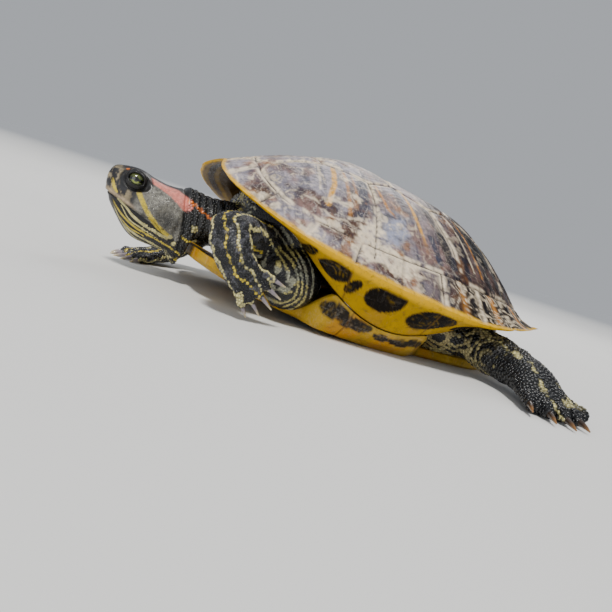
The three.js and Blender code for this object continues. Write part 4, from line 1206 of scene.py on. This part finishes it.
def head_colours(p):
    """The head and neck: tan snout, grey cheek, pale beak, and lines on black."""
    twin = mirrored(p, HEAD_Y)
    x, y, z = twin.T
    fine, grain = noise(twin, 3.2, 3, 2), noise(twin, 1.1, 2, 7)
    colour = tinted(CHARCOAL, 0.6 + 0.8 * fine)
    level = mouth_level(x)
    above = ease(z - level, -0.1, 0.3)
    side = 1 - ease(z + 0.15 * y + 2 * (fine - 0.5), 33.5, 37)
    snout = (1 - ease(x, -40, -34)) * side * above
    colour = mix_colour(colour, SNOUT_TAN, 0.85 * snout * ease(0.7 * fine + 0.3 * grain, 0.48, 0.64))
    cheek = ease(x, -37, -31) * side * above * ease(y, 3, 7)
    colour = mix_colour(colour, CHEEK, cheek * (0.5 + 0.5 * ease(grain, 0.35, 0.6)))
    dusk = bump(np.hypot((x + 16.5) / 9.5, (z - 17) / 5.5), 1.0) * ease(0.6 * fine + 0.4 * grain, 0.3, 0.6)
    colour = mix_colour(colour, SKIN_BLACK, 0.85 * dusk * above)
    beak = bump(z - level - 1.0 - 0.5 * fine, 1.0) * (1 - ease(x, -38, -31)) * above
    colour = mix_colour(colour, BEAK, 0.9 * beak)
    tan = ease(noise(twin * (0.35, 1.4, 1), 2.4, 2, 33), 0.6, 0.68) * (1 - side)
    colour = mix_colour(colour, SNOUT_TAN, 0.5 * (tan * (1 - ease(x, -36, -30))))
    colour = mix_colour(colour, SKIN_BLACK, (1 - above) * 0.9)
    colour = mix_colour(colour, SKIN_BLACK, ease(x + 0.16 * (z - 22) + 3 * (fine - 0.5), -9.6, -8.2) * 0.93)
    jagged = 0.5 * (fine - 0.5)
    streaks = 1.0 - 0.35 * ease(grain, 0.55, 0.75)
    for line, start, end, paint in HEAD_LINES:
        d, along = segment_distance(np.column_stack([x, z]), smooth_row(line, 16))
        width = lerp(start, end, along) + jagged
        mask = (1 - ease(d, width * 0.8, width * 1.15)) * ease(y, 4.5, 7)
        colour = mix_colour(colour, paint, mask * streaks)
    for spot, size, paint in HEAD_SPOTS:
        d = np.hypot(x - spot[0], z - spot[1]) + jagged
        colour = mix_colour(colour, paint, (1 - ease(d, size * 0.8, size * 1.15)) * (y > 5))
    chin = (1 - ease(y, 5, 6.5)) * ease(level - z, 3, 6) * (1 - ease(x, 2, 8))
    stripe = np.maximum(bump(y - 0.2, 0.6), bump(y - 3.6 - 1.2 * ease(-x, 10, 30), 0.55))
    colour = mix_colour(colour, SKIN_CREAM, chin * stripe)
    around = eye_opening(p)
    return mix_colour(colour, SKIN_BLACK * 0.7, (1 - ease(around, 1.75, 2.15)) * 0.95)


def eye_opening(p):
    """1 at the edge of the lids' almond and rising outwards, on either side of the head."""
    best = np.full(len(p), 9.0)
    for side in (-1, 1):
        offset = p - eye_axes(side)[0]
        u, w = offset[:, 0] + 0.16 * offset[:, 2], offset[:, 2] - 0.16 * offset[:, 0]
        opening = np.hypot(u / 4.5, w / 3.0)
        best = np.where(side * (p[:, 1] - HEAD_Y) > 2, np.minimum(best, opening), best)
    return best


def crest_of(along, angle, width):
    """The band of big scales along a foreleg's outer edge."""
    return bump(wrapped(angle, 2.65), width) * bump(along - 0.45, 0.3)


def maze(value, turns, ragged, low, high):
    """Winding bands along the contours of a smooth noise."""
    return ease(np.abs(np.mod(value * turns, 1) - 0.5) * 2 + ragged, low, high)


def limb_colours(p, name, along, angle):
    """Yellow and cream stripes down the forelegs; mazes and an edge line on the hind legs."""
    fine, broad = noise(p, 2.0, 2, 14), noise(p, 9, 2, 25)
    colour = tinted(SKIN_BLACK, 0.65 + 0.7 * fine)
    turned = angle + 0.9 * (broad - 0.5) + 0.25 * (fine - 0.5)
    if name.startswith("fore"):
        stripe = ease(np.cos(turned * 7 + 0.8), 0.74, 0.88) * ease(noise(p, 5, 2, 66), 0.2, 0.32)
        # painted highlight: patches of blue-grey on the black stand for the wet skin's sheen
        colour = mix_colour(colour, srgb(110, 110, 118), 0.4 * ease(noise(p, 3.4, 2, 58), 0.54, 0.64))
        paint = np.where((np.sin(turned * 3) > 0)[:, None], SKIN_YELLOW, SKIN_CREAM)
        colour = mix_colour(colour, paint, stripe)
        colour = mix_colour(colour, srgb(172, 160, 158), 0.85 * crest_of(along, angle, 0.3))
    else:
        stripe = ease(np.cos(turned * 4 + 2.4), 0.8, 0.93) * ease(noise(p, 6, 2, 68), 0.4, 0.52)
        plain = ease(along, 0.2, 0.32) * (1 - ease(along, 0.88, 0.96)) * (np.sin(angle) > -0.3)
        stripe = stripe * (1 - 0.97 * plain)
        colour = mix_colour(colour, SKIN_CREAM, 0.9 * stripe)
        winding = noise(p + 4 * (noise(p, 8, 1, 61) - 0.5)[:, None], 13, 2, 83)
        bands = maze(winding, 7, 0.3 * (fine - 0.5), 0.42, 0.58)
        colour = mix_colour(colour, srgb(168, 156, 110), bands * (1 - ease(along, 0.24, 0.36)))
        dots = ease(noise(p, 2.6, 1, 91), 0.82, 0.9) * (1 - ease(along, 0.3, 0.5))
        colour = mix_colour(colour, SKIN_CREAM, 0.4 * dots)
        hem = bump(wrapped(angle, -0.15), 0.12) * ease(along, 0.15, 0.3)
        colour = mix_colour(colour, SKIN_CREAM, hem * ease(fine, 0.3, 0.5) * (1 - ease(along, 0.8, 0.95)))
    return colour


# Pale spots on the pocket behind the foreleg, as (x, z) and reach.
POCKET_SPOTS = (((27.7, 33.2), 2.3, 1.9), ((18.8, 25), 2.6, 1.3), ((25, 19.5), 2.2, 1.5),
                ((34.4, 18), 1.3, 3.2), ((33.6, 7.5), 4.0, 1.9), ((41.0, 9.0), 3.6, 1.9),
                ((42.6, 14), 1.5, 3.0))
# Long pale lines round the same pocket, as (x, z) and half width.
POCKET_LINES = (
    ([(33.6, 36.5), (41.3, 30), (48.6, 19.5), (52.5, 7.5), (50, -1)], 0.75),
    ([(30, 34), (38.5, 28.6), (45.6, 19.4), (49.6, 8), (46, 0.5)], 0.6),
    ([(33.2, 27), (39.7, 23.2), (45.1, 15.6), (46.7, 6.6), (42, 1.5), (34, 2)], 0.75),
    ([(20, 31), (27, 27.5), (33, 24.5), (38.5, 18.5), (40.5, 13)], 0.6),
    ([(36, 38.5), (44.5, 32), (52, 21), (56, 9)], 0.6),
    ([(14, 29), (20, 22), (22, 14), (27, 8), (31, 3.6)], 0.6),
    ([(28, 24), (30, 18), (29, 12.5), (33, 10.8), (38, 5.2)], 0.5),
)


def pocket_colours(p):
    """Cream and yellow lines that wind over the loose skin under the shell."""
    twin = mirrored(p)
    x, y, z = twin.T
    value = noise(twin + 3 * (noise(twin, 9, 1, 5) - 0.5)[:, None], 15, 2, 47)
    fine = noise(p, 1.6, 2, 4)
    thin = maze(value, 8.5, 0.4 * (fine - 0.5), 0.66, 0.84)
    bold = maze(value, 6.5, 0.25 * (fine - 0.5), 0.36, 0.5)
    behind = ease(x, 100, 112)
    front = (1 - ease(x, 60, 68)) * (y > 26)
    line = lerp(lerp(thin, bold, behind), 0.0, front)
    broken = ease(noise(p, 5, 2, 8), 0.24, 0.36)
    for row, width in POCKET_LINES:
        d = segment_distance(twin[:, ::2], smooth_row(row, 14))[0]
        mask = (1 - ease(d + 0.7 * (fine - 0.5), 0.7 * width, 1.3 * width)) * broken
        line = np.maximum(line, front * mask)
    for (at_x, at_z), wide, high in POCKET_SPOTS:
        d = np.hypot((x - at_x) / wide, (z - at_z) / high) + 0.5 * (fine - 0.5)
        line = np.maximum(line, front * (1 - ease(d, 0.8, 1.15)))
    colour = tinted(SKIN_BLACK, 0.6 + 0.6 * fine)
    paint = np.where((noise(twin, 12, 1, 80) > 0.5)[:, None], srgb(196, 184, 112), srgb(160, 160, 138))
    paint = mix_colour(paint, srgb(186, 170, 116), behind)
    return mix_colour(colour, paint, line * 0.9)


NECK_PART, TAIL_PART, TRUNK_PART = 4, 5, 6   # after the four legs, 0 to 3


class Places:
    """Which part of the animal each point of the skin is on, and its place along and round it."""

    def __init__(self, p):
        x, y, z = p.T
        self.part = np.full(len(p), TRUNK_PART)
        self.along, self.angle = (x - 15) / 190, np.arctan2(z - 26, y)
        best = np.full(len(p), 1.45)
        for number, name in enumerate(LIMBS):
            d, along, angle = limb_place(p, name)
            d = d + 2.0 * (along < (0.14 if number < 2 else 0.03))
            nearer = d < best
            best = np.where(nearer, d, best)
            self.put(nearer, number, along, angle)
        out = np.abs(y - HEAD_Y)
        neck = (x < 16) & (out < 23) & (self.part == TRUNK_PART)
        neck |= (x < -9) & (out < 19) & (z > 0.5)
        self.put(neck, NECK_PART, (x + 52) / 80, np.arctan2(z - 22, y - HEAD_Y))
        far = [np.linalg.norm(p - row[:3], axis=1) for row in smooth_row(TAIL, 40)]
        tail = (np.min(far, axis=0) < 11) & (x > 186) & (self.part == TRUNK_PART)
        self.put(tail, TAIL_PART, np.argmin(far, axis=0) / 39, np.arctan2(z - 24, y - HEAD_Y))

    def put(self, chosen, part, along, angle):
        self.part = np.where(chosen, part, self.part)
        self.along = np.where(chosen, along, self.along)
        self.angle = np.where(chosen, angle, self.angle)


PARTS = (*LIMBS, "neck", "tail", "trunk")
# Rectangles of the bake map for each part: u, v, width and height.
CHARTS = ((0.51, 0.01, 0.48, 0.18), (0.51, 0.21, 0.48, 0.18), (0.01, 0.41, 0.48, 0.28),
          (0.51, 0.41, 0.48, 0.28), (0.01, 0.01, 0.48, 0.38), (0.01, 0.71, 0.28, 0.28),
          (0.31, 0.71, 0.68, 0.28))


def markings(p, places):
    """The animal's own colours at points of the skin or of its scales."""
    colour = pocket_colours(p)
    for number, name in enumerate(LIMBS):
        leg = places.part == number
        colour[leg] = limb_colours(p[leg], name, places.along[leg], places.angle[leg])
    head, tail = places.part == NECK_PART, places.part == TAIL_PART
    colour[head] = head_colours(p[head])
    stripe = ease(np.cos(4 * np.arctan2(p[tail, 2] - 15, p[tail, 1] - 8)), 0.7, 0.9)
    colour[tail] = mix_colour(SKIN_BLACK, SKIN_YELLOW, stripe * 0.8)
    return colour


def hide(name, bump_mm, gloss, coat):
    """Damp reptile skin in the stored colours, with a net of fine cracks where that is stored."""
    s = Shader(name)
    edges = s.cell_edges(720.0, s.stretch((1.0, 1.0, 1.35)))
    net = s.times(s.spread(edges, 0.01, 0.12, 1.0, 0.0), s.attribute("cracks"))
    height = s.math("SUBTRACT", s.times(s.noise(1400.0), 0.6), net)
    dusk = s.spread(s.noise(500.0), 0.35, 0.75, 0.0, 0.35)
    colour = s.mix(dusk, s.attribute("colour", "Color"), (0.01, 0.01, 0.012))
    colour = s.mix(s.times(net, 0.85), colour, (0.012, 0.011, 0.012))
    rough = s.spread(s.noise(260.0), 0.3, 0.7, gloss, gloss + 0.22)
    return s.use(colour, rough, Normal=s.relief(height, bump_mm / 1000, 0.7), Coat_Weight=coat,
                 Coat_Roughness=0.15, Specular_IOR_Level=0.35)


def finish_skin(obj):
    """The skin's colours, the cracks on its cheeks, and the CAD nodes that it stands for."""
    p = vertices_of(obj)
    x, _, z = p.T
    places = Places(p)
    head = places.part == NECK_PART
    colour = mix_colour(markings(p, places), SKIN_BLACK * 0.35, 0.55 * (~head | (x > HEAD_BACK)))
    store(obj, "colour", colour)
    cheek = ease(x, -33, -27) * (1 - ease(x, -10, HEAD_BACK)) * (z > mouth_level(x)) * (1 - ease(z, 36, 38))
    cheek = cheek * lerp(0.35, 1.0, (1 - ease(z, 17, 29)) * (0.4 + 0.6 * ease(x, -27, -14)))
    store(obj, "cracks", cheek * (0.4 + 0.6 * ease(noise(p, 4, 2, 12), 0.35, 0.6)) + 0.25 * ~head)
    others = ("carapace", "plastron", "claw", "eye")
    flesh = [node for node in frame["nodes"] if not any(word in node for word in others)]
    finish_piece(obj, hide("turtle_skin", 0.16, 0.34, 0.15), flesh)


# ------------------------------------------------------------ scales
def scale_size(p, places):
    """Spacing of the scales in millimetres."""
    fore, hind = places.part < 2, (places.part == 2) | (places.part == 3)
    neck, trunk = places.part == NECK_PART, places.part == TRUNK_PART
    x, y, _ = mirrored(p, HEAD_Y).T
    size = np.select([fore, hind, neck], [1.15, 1.75, 1.4], 1.5)
    size = np.where(neck & (x < HEAD_BACK), 0.8, size)
    size = size + fore * 1.3 * crest_of(places.along, places.angle, 0.35)
    size = size + hind * 0.35 * ease(places.along, 0.3, 0.5) * (np.sin(places.angle) > 0.2)
    size = np.where(trunk & (y > 27) & ((x < 67) | (x > 118)), 0.95, size)
    toes = (fore | hind) & (places.along > 0.9)
    return np.where(toes, np.where(fore, 1.25, 1.8), size)


def scaled_area(p, places):
    """True where scales grow: all skin that shows, but not the head's smooth front."""
    x, y, z = mirrored(p, HEAD_Y).T
    neck, trunk = places.part == NECK_PART, places.part == TRUNK_PART
    pouch = (y > 27) & (z < 42) & ((x < 67) | (x > 122))
    shown = ~trunk | (x < 47) | (x > 146) | pouch
    shown &= ~((places.part < 2) & (places.along < 0.1)) & ~(trunk & (z > 46) & (x > 30) & (x < 165))
    level = mouth_level(x)
    temple = (x > -27) & (z < 29) & (z > level + 1.2) & (y > 9)
    throat = (z < level - 2.0) & (x > -26)
    return shown & (~(neck & (x < HEAD_BACK)) | temple | throat) & ~(neck & (x > 16))


TRIES = 7                              # random places tried for each scale
CLOSEST = 0.86                         # least distance between scales, in spacings
NEIGHBOURS = 12                        # nearby scales that shape one scale's outline
SPOKES = 7
# Rings of a scale's bead: width and height as shares of its reach and height.
BEAD_RINGS = ((0.985, -0.35), (0.87, 0.5), (0.5, 0.93))


def sample_skin(obj, spacing_scale):
    """Evenly spread places on the skin, with their normals."""
    mesh = obj.data
    mesh.calc_loop_triangles()
    tri = numbers_of(mesh.loop_triangles, "vertices", 3, np.int32)
    p, n = vertices_of(obj), normals_of(obj)
    a, b, c = p[tri[:, 0]], p[tri[:, 1]], p[tri[:, 2]]
    middle = (a + b + c) / 3
    area = 0.5 * np.linalg.norm(np.cross(b - a, c - a), axis=1)
    places = Places(middle)
    size = scale_size(middle, places) * spacing_scale
    weight = area / size ** 2 * scaled_area(middle, places)
    count = int(weight.sum() * TRIES)
    chosen = RNG.choice(len(tri), count, p=weight / weight.sum())
    u, v = RNG.random((2, count))
    flip = u + v > 1
    u, v = np.where(flip, 1 - u, u)[:, None], np.where(flip, 1 - v, v)[:, None]
    spots = a[chosen] + u * (b[chosen] - a[chosen]) + v * (c[chosen] - a[chosen])
    normal = unit(n[tri[chosen, 0]] * (1 - u - v) + n[tri[chosen, 1]] * u + n[tri[chosen, 2]] * v)
    radius = size[chosen] * CLOSEST
    tree, free, kept = tree_of(spots), np.ones(count, bool), []
    for i in range(count):
        if free[i]:
            kept.append(i)
            free[[j for _, j, _ in tree.find_range(spots[i], radius[i])]] = False
    return spots[kept], normal[kept], size[chosen][kept]


def lie_of(p, places):
    """Which way the scales point: down the limbs and back along the neck."""
    lie = np.tile((1.0, 0.0, 0.0), (len(p), 1))
    for number, name in enumerate(LIMBS):
        tangent = unit(np.gradient(CENTRES[name][:, :3], axis=0))
        chosen = places.part == number
        last = CENTRE_STEPS - 1
        index = np.clip((places.along[chosen] * last).astype(int), 0, last)
        lie[chosen] = tangent[index]
    return lie


def build_scales(skin):
    """Polygonal beads that fill the skin's visible faces, in one joined mesh for each part."""
    spots, normal, size = sample_skin(skin, 1.0)
    places = Places(spots)
    a = lie_of(spots, places)
    a = unit(a - np.sum(a * normal, 1)[:, None] * normal)
    b = np.cross(normal, a)
    tree = tree_of(spots)
    near = np.array([[j for _, j, _ in tree.find_n(s, NEIGHBOURS + 1)][1:] for s in spots])
    offset = spots[near] - spots[:, None]
    du, dv = np.sum(offset * a[:, None], -1), np.sum(offset * b[:, None], -1)
    theta = 2 * math.pi * np.arange(SPOKES) / SPOKES
    ray = np.stack([np.cos(theta), np.sin(theta)])
    toward = du[..., None] * ray[0] + dv[..., None] * ray[1]
    reach = (du ** 2 + dv ** 2)[..., None] / (2 * np.maximum(toward, 1e-6))
    reach = np.minimum(np.where(toward > 1e-6, reach, 1e9).min(1), 0.72 * size[:, None])
    neck = places.part == NECK_PART
    height = size * np.select([places.part < 2, places.part < 4, neck], [0.22, 0.25, 0.26], 0.12)
    height = height * (0.85 + 0.3 * RNG.random(len(size)))
    height = np.where(neck & (spots[:, 0] < HEAD_BACK), 0.07, height)
    tilt = np.select([places.part < 2, places.part < 4], [0.16, 0.3], 0.08) * height
    spread = a[:, None] * ray[0][:, None] + b[:, None] * ray[1][:, None]
    rings = []
    for share, lift in BEAD_RINGS:
        flat = spread * (reach * share)[..., None]
        raised = height[:, None] * lift + tilt[:, None] * ray[0] * share * 2.2
        rings.append(spots[:, None] + flat + normal[:, None] * raised[..., None])
    top = (spots + normal * height[:, None])[:, None]
    points = np.concatenate([*rings, top], 1)
    points[..., 2] = np.maximum(points[..., 2], floor_at(points[..., 0]) + 0.02)
    step = np.arange(SPOKES)
    turn = (step + 1) % SPOKES
    tris = []
    for ring in range(2):
        low, high = ring * SPOKES, (ring + 1) * SPOKES
        tris.append(np.stack([low + step, low + turn, high + turn], -1))
        tris.append(np.stack([low + step, high + turn, high + step], -1))
    tris.append(np.stack([2 * SPOKES + step, 2 * SPOKES + turn, np.full(SPOKES, 3 * SPOKES)], -1))
    tris = np.vstack(tris)
    colour = markings(spots, places) * (0.75 + 0.5 * RNG.random(len(spots)))[:, None]
    charts = np.array(CHARTS)[places.part]
    around = (places.angle + math.pi) / (2 * math.pi) % 1.0
    root = charts[:, :2] + charts[:, 2:] * np.column_stack([np.clip(places.along, 0, 1), around])
    spoke_uv = 0.0015 * np.vstack([ray.T, 0.87 * ray.T, 0.5 * ray.T, np.zeros((1, 2))])
    material = hide("turtle_scales", 0.04, 0.1, 0.4)
    each = 3 * SPOKES + 1
    groups = [(name, places.part == number) for number, name in enumerate(PARTS[:-1])]
    trunk, ahead, left = places.part == TRUNK_PART, spots[:, 0] < 100, spots[:, 1] < 0
    groups += [("trunk_front_left", trunk & ahead & left), ("trunk_front_right", trunk & ahead & ~left),
               ("trunk_rear_left", trunk & ~ahead & left), ("trunk_rear_right", trunk & ~ahead & ~left)]
    for name, members in groups:
        chosen = np.flatnonzero(members)
        faces = (tris[None] + (np.arange(len(chosen)) * each)[:, None, None]).reshape(-1, 3)
        obj = make_mesh("scales_" + name, points[chosen].reshape(-1, 3), faces)
        store(obj, "colour", np.repeat(colour[chosen], each, 0))
        uv = (root[chosen][:, None] + spoke_uv[None]).reshape(-1, 2)
        layer = obj.data.uv_layers.new(name="OFBake")
        layer.data.foreach_set("uv", uv[faces.ravel()].astype(np.float32).ravel())
        finish_piece(obj, material)


# ------------------------------------------------------------ eyes and claws
def build_eyes():
    """Two eyeballs with a swollen cornea, a green iris, and a pupil crossed by a dark bar."""
    s = Shader("turtle_eye")
    material = s.use(s.attribute("colour", "Color"), 0.12, Coat_Weight=1.0, Coat_Roughness=0.02)
    rows, columns = 72, 96
    polar = np.linspace(0, math.pi, rows)[:, None]
    turn = 2 * math.pi * np.arange(columns) / columns
    local = np.stack([np.sin(polar) * np.cos(turn), np.sin(polar) * np.sin(turn),
                      np.repeat(np.cos(polar), columns, 1)], -1).reshape(-1, 3)
    swell = 1 + 0.05 * bump(np.arccos(np.clip(local[:, 2], -1, 1)), 0.55)
    radius = (EYE["radius"] - 0.25) * swell
    for side, name in ((-1, "eye_left"), (1, "eye_right")):
        centre, along, rise, gaze = eye_axes(side)
        out = along * local[:, :1] + rise * local[:, 1:2] + gaze * local[:, 2:]
        points = centre + out * radius[:, None]
        obj = make_mesh(name + "_ball", points, grid_faces(rows, columns))
        weld(obj, 1e-6)
        q = vertices_of(obj) - centre
        u, w = q @ along, q @ rise
        r = np.where(q @ gaze > 0, np.hypot(u, w), 9.0)
        grain = noise(np.column_stack([np.arctan2(w, u) * 4, r * 0.6, r * 0]), 0.7, 3, 3)
        iris = 1 - ease(r, 3.75, 4.0)
        green = iris * (0.4 + 0.5 * grain) * (1 - 0.6 * ease(r, 2.4, 3.8))
        colour = mix_colour(srgb(18, 18, 16), srgb(66, 76, 20), green)
        bright = bump(r - 1.7, 0.35) * iris * (0.2 + 0.7 * ease(-w, 0, 1))
        colour = mix_colour(colour, srgb(150, 166, 36), bright)
        # painted reflection: the upper iris is turned a paler, greyer olive, as the cornea's sheen
        colour = mix_colour(colour, srgb(104, 110, 70), ease(w, 0.9, 2.2) * iris * 0.5)
        bar = (1 - ease(np.abs(w + 0.1), 0.5, 0.8)) * (r < 3.9) * 0.97
        colour = mix_colour(colour, srgb(9, 9, 8), np.maximum(1 - ease(r, 1.2, 1.4), bar))
        store(obj, "colour", colour)
        finish_piece(obj, material, [name])


# A claw's colours at its root and at its tip.
CLAW_PAINTS = {"fore": (srgb(150, 140, 146), srgb(224, 204, 150)),
               "hind": (srgb(52, 40, 32), srgb(150, 104, 52))}


def build_claws():
    """Curved claws, one joined piece for each foot."""
    s = Shader("claw_horn")
    streak = s.noise(500.0)
    dusk = s.spread(streak, 0.35, 0.75, 0.0, 0.45)
    colour = s.mix(dusk, s.attribute("colour", "Color"), (0.018, 0.013, 0.01))
    rough = s.spread(streak, 0.3, 0.7, 0.2, 0.38)
    material = s.use(colour, rough, Normal=s.relief(streak, 0.00008), Coat_Weight=0.3)
    for name, limb in LIMBS.items():
        foot, parts, shades = Foot(limb), [], []
        dark, pale = CLAW_PAINTS[limb["kind"]]
        for number, length in enumerate(foot.kind["claw"]):
            if not length:
                continue
            _, heading, tip = foot.toe(number)
            r = foot.kind["claw_radius"] + 0.2
            rows = []
            for share in np.linspace(0, 1, 9):
                thin = (1 - share) ** 0.52
                drop = -0.2 + 0.3 * share + 1.2 * share ** 2.2
                place = tip + heading * lerp(-1.6, length - 0.1, share) - foot.upward * drop
                high = max(r * 1.2 * thin, 0.14)
                rows.append((*place, max(r * 0.96 * thin, 0.12), high, high))
            points, faces = loft(rows, foot.upward, sides=20, steps=3, shrink=0.0, ends=(0, 0.12))
            points[:, 2] = np.maximum(points[:, 2], floor_at(points[:, 0]) + 0.01)
            share = np.clip((points - tip) @ heading / length, 0, 1)
            under = (points - tip) @ foot.upward + 1.2 * share ** 2.2
            parts.append((points, faces))
            tip_share = ease(share, 0.35, 1.0) * 0.85 + 0.5 * ease(-under, 0.0, r)
            shades.append(mix_colour(dark, pale, tip_share))
        points, faces = joined(parts)
        obj = make_mesh(name + "_claws", points, faces)
        store(obj, "colour", np.vstack(shades))
        nodes = [node for node in frame["nodes"] if node.startswith(name + "_claw")]
        finish_piece(obj, material, nodes)


# ------------------------------------------------------------ camera, floor and light
CAMERA = dict(place=(-78.915, -376.152, 37.186), forward=(0.38766, 0.91708, -0.09317),
              up=(-0.30883, 0.22445, 0.92426), lens=40.86)


def add_camera():
    """The photograph's camera, as fitted to the seams and the rim of the carapace."""
    data = bpy.data.cameras.new("camera")
    data.sensor_width, data.lens = 36.0, CAMERA["lens"]
    data.clip_start, data.clip_end = 0.01, 50
    camera = bpy.data.objects.new("camera", data)
    bpy.context.scene.collection.objects.link(camera)
    back = -Vector(leaned(CAMERA["forward"])).normalized()
    up = Vector(leaned(CAMERA["up"])).normalized()
    right = up.cross(back).normalized()
    up = back.cross(right)
    turn = Matrix((right, up, back)).transposed().to_4x4()
    camera.matrix_world = Matrix.Translation(Vector(world(CAMERA["place"]))) @ turn
    bpy.context.scene.camera = camera


def add_light(name, place, size, power, colour, kind="AREA", target=(0, 0, 0.04)):
    """A disc of light, or a sun whose size is an angle."""
    data = bpy.data.lights.new(name, kind)
    data.energy, data.color = power, colour
    if kind == "SUN":
        data.angle = size
    else:
        data.shape, data.size = "DISK", size
    light = bpy.data.objects.new(name, data)
    bpy.context.scene.collection.objects.link(light)
    light.location = place
    light.rotation_mode = "QUATERNION"
    light.rotation_quaternion = (Vector(target) - Vector(place)).to_track_quat("-Z", "Y")


def add_stage():
    """A round pale floor with a painted pool of light in its middle, the sky's even light, and three lamps.
    """
    sides = 96
    turn = 2 * math.pi * np.arange(sides) / sides
    circle = np.column_stack([np.cos(turn), np.sin(turn), np.zeros(sides)])
    mesh = bmesh.new()
    rings = [[mesh.verts.new(point) for point in circle * radius] for radius in (0.02, 4.0, 40.0)]
    mesh.faces.new(rings[0])
    for low, high in zip(rings, rings[1:]):
        for i in range(sides):
            face = mesh.faces.new((low[i], low[(i + 1) % sides], high[(i + 1) % sides], high[i]))
            face.smooth = True
    data = bpy.data.meshes.new("floor")
    mesh.to_mesh(data)
    mesh.free()
    floor = bpy.data.objects.new("floor", data)
    bpy.context.scene.collection.objects.link(floor)
    s = Shader("pale_floor")
    away = s.node("ShaderNodeVectorMath", {0: s.position()}, operation="LENGTH").outputs["Value"]
    # painted light: the floor is paler near the middle and darker and bluer far out, so it fades into the sky
    # at the horizon
    colour = s.mix(s.spread(away, 0.35, 5.0), (0.74, 0.74, 0.73), (0.325, 0.342, 0.369))
    rough = s.spread(s.noise(6.0), 0.3, 0.7, 0.6, 0.75)
    data.materials.append(s.use(colour, rough, Specular_IOR_Level=0.1))
    sky = bpy.data.worlds.new("studio")
    bpy.context.scene.world = sky
    sky.use_nodes = True
    background = sky.node_tree.nodes["Background"]
    background.inputs["Color"].default_value = (0.86, 0.9, 0.96, 1)
    background.inputs["Strength"].default_value = 0.5
    add_light("key", (-0.35, -0.5, 1.15), math.radians(9), 3.2, (1.0, 0.97, 0.92), "SUN")
    add_light("fill", (-0.9, -0.7, 0.35), 0.9, 3.0, (0.94, 0.97, 1.0))
    add_light("back", (0.5, 0.85, 0.9), 0.6, 4.0, (1.0, 0.98, 0.95))


build_carapace()
build_plastron()
skin = build_skin()
build_scales(skin)
finish_skin(skin)
build_eyes()
build_claws()
add_stage()
add_camera()
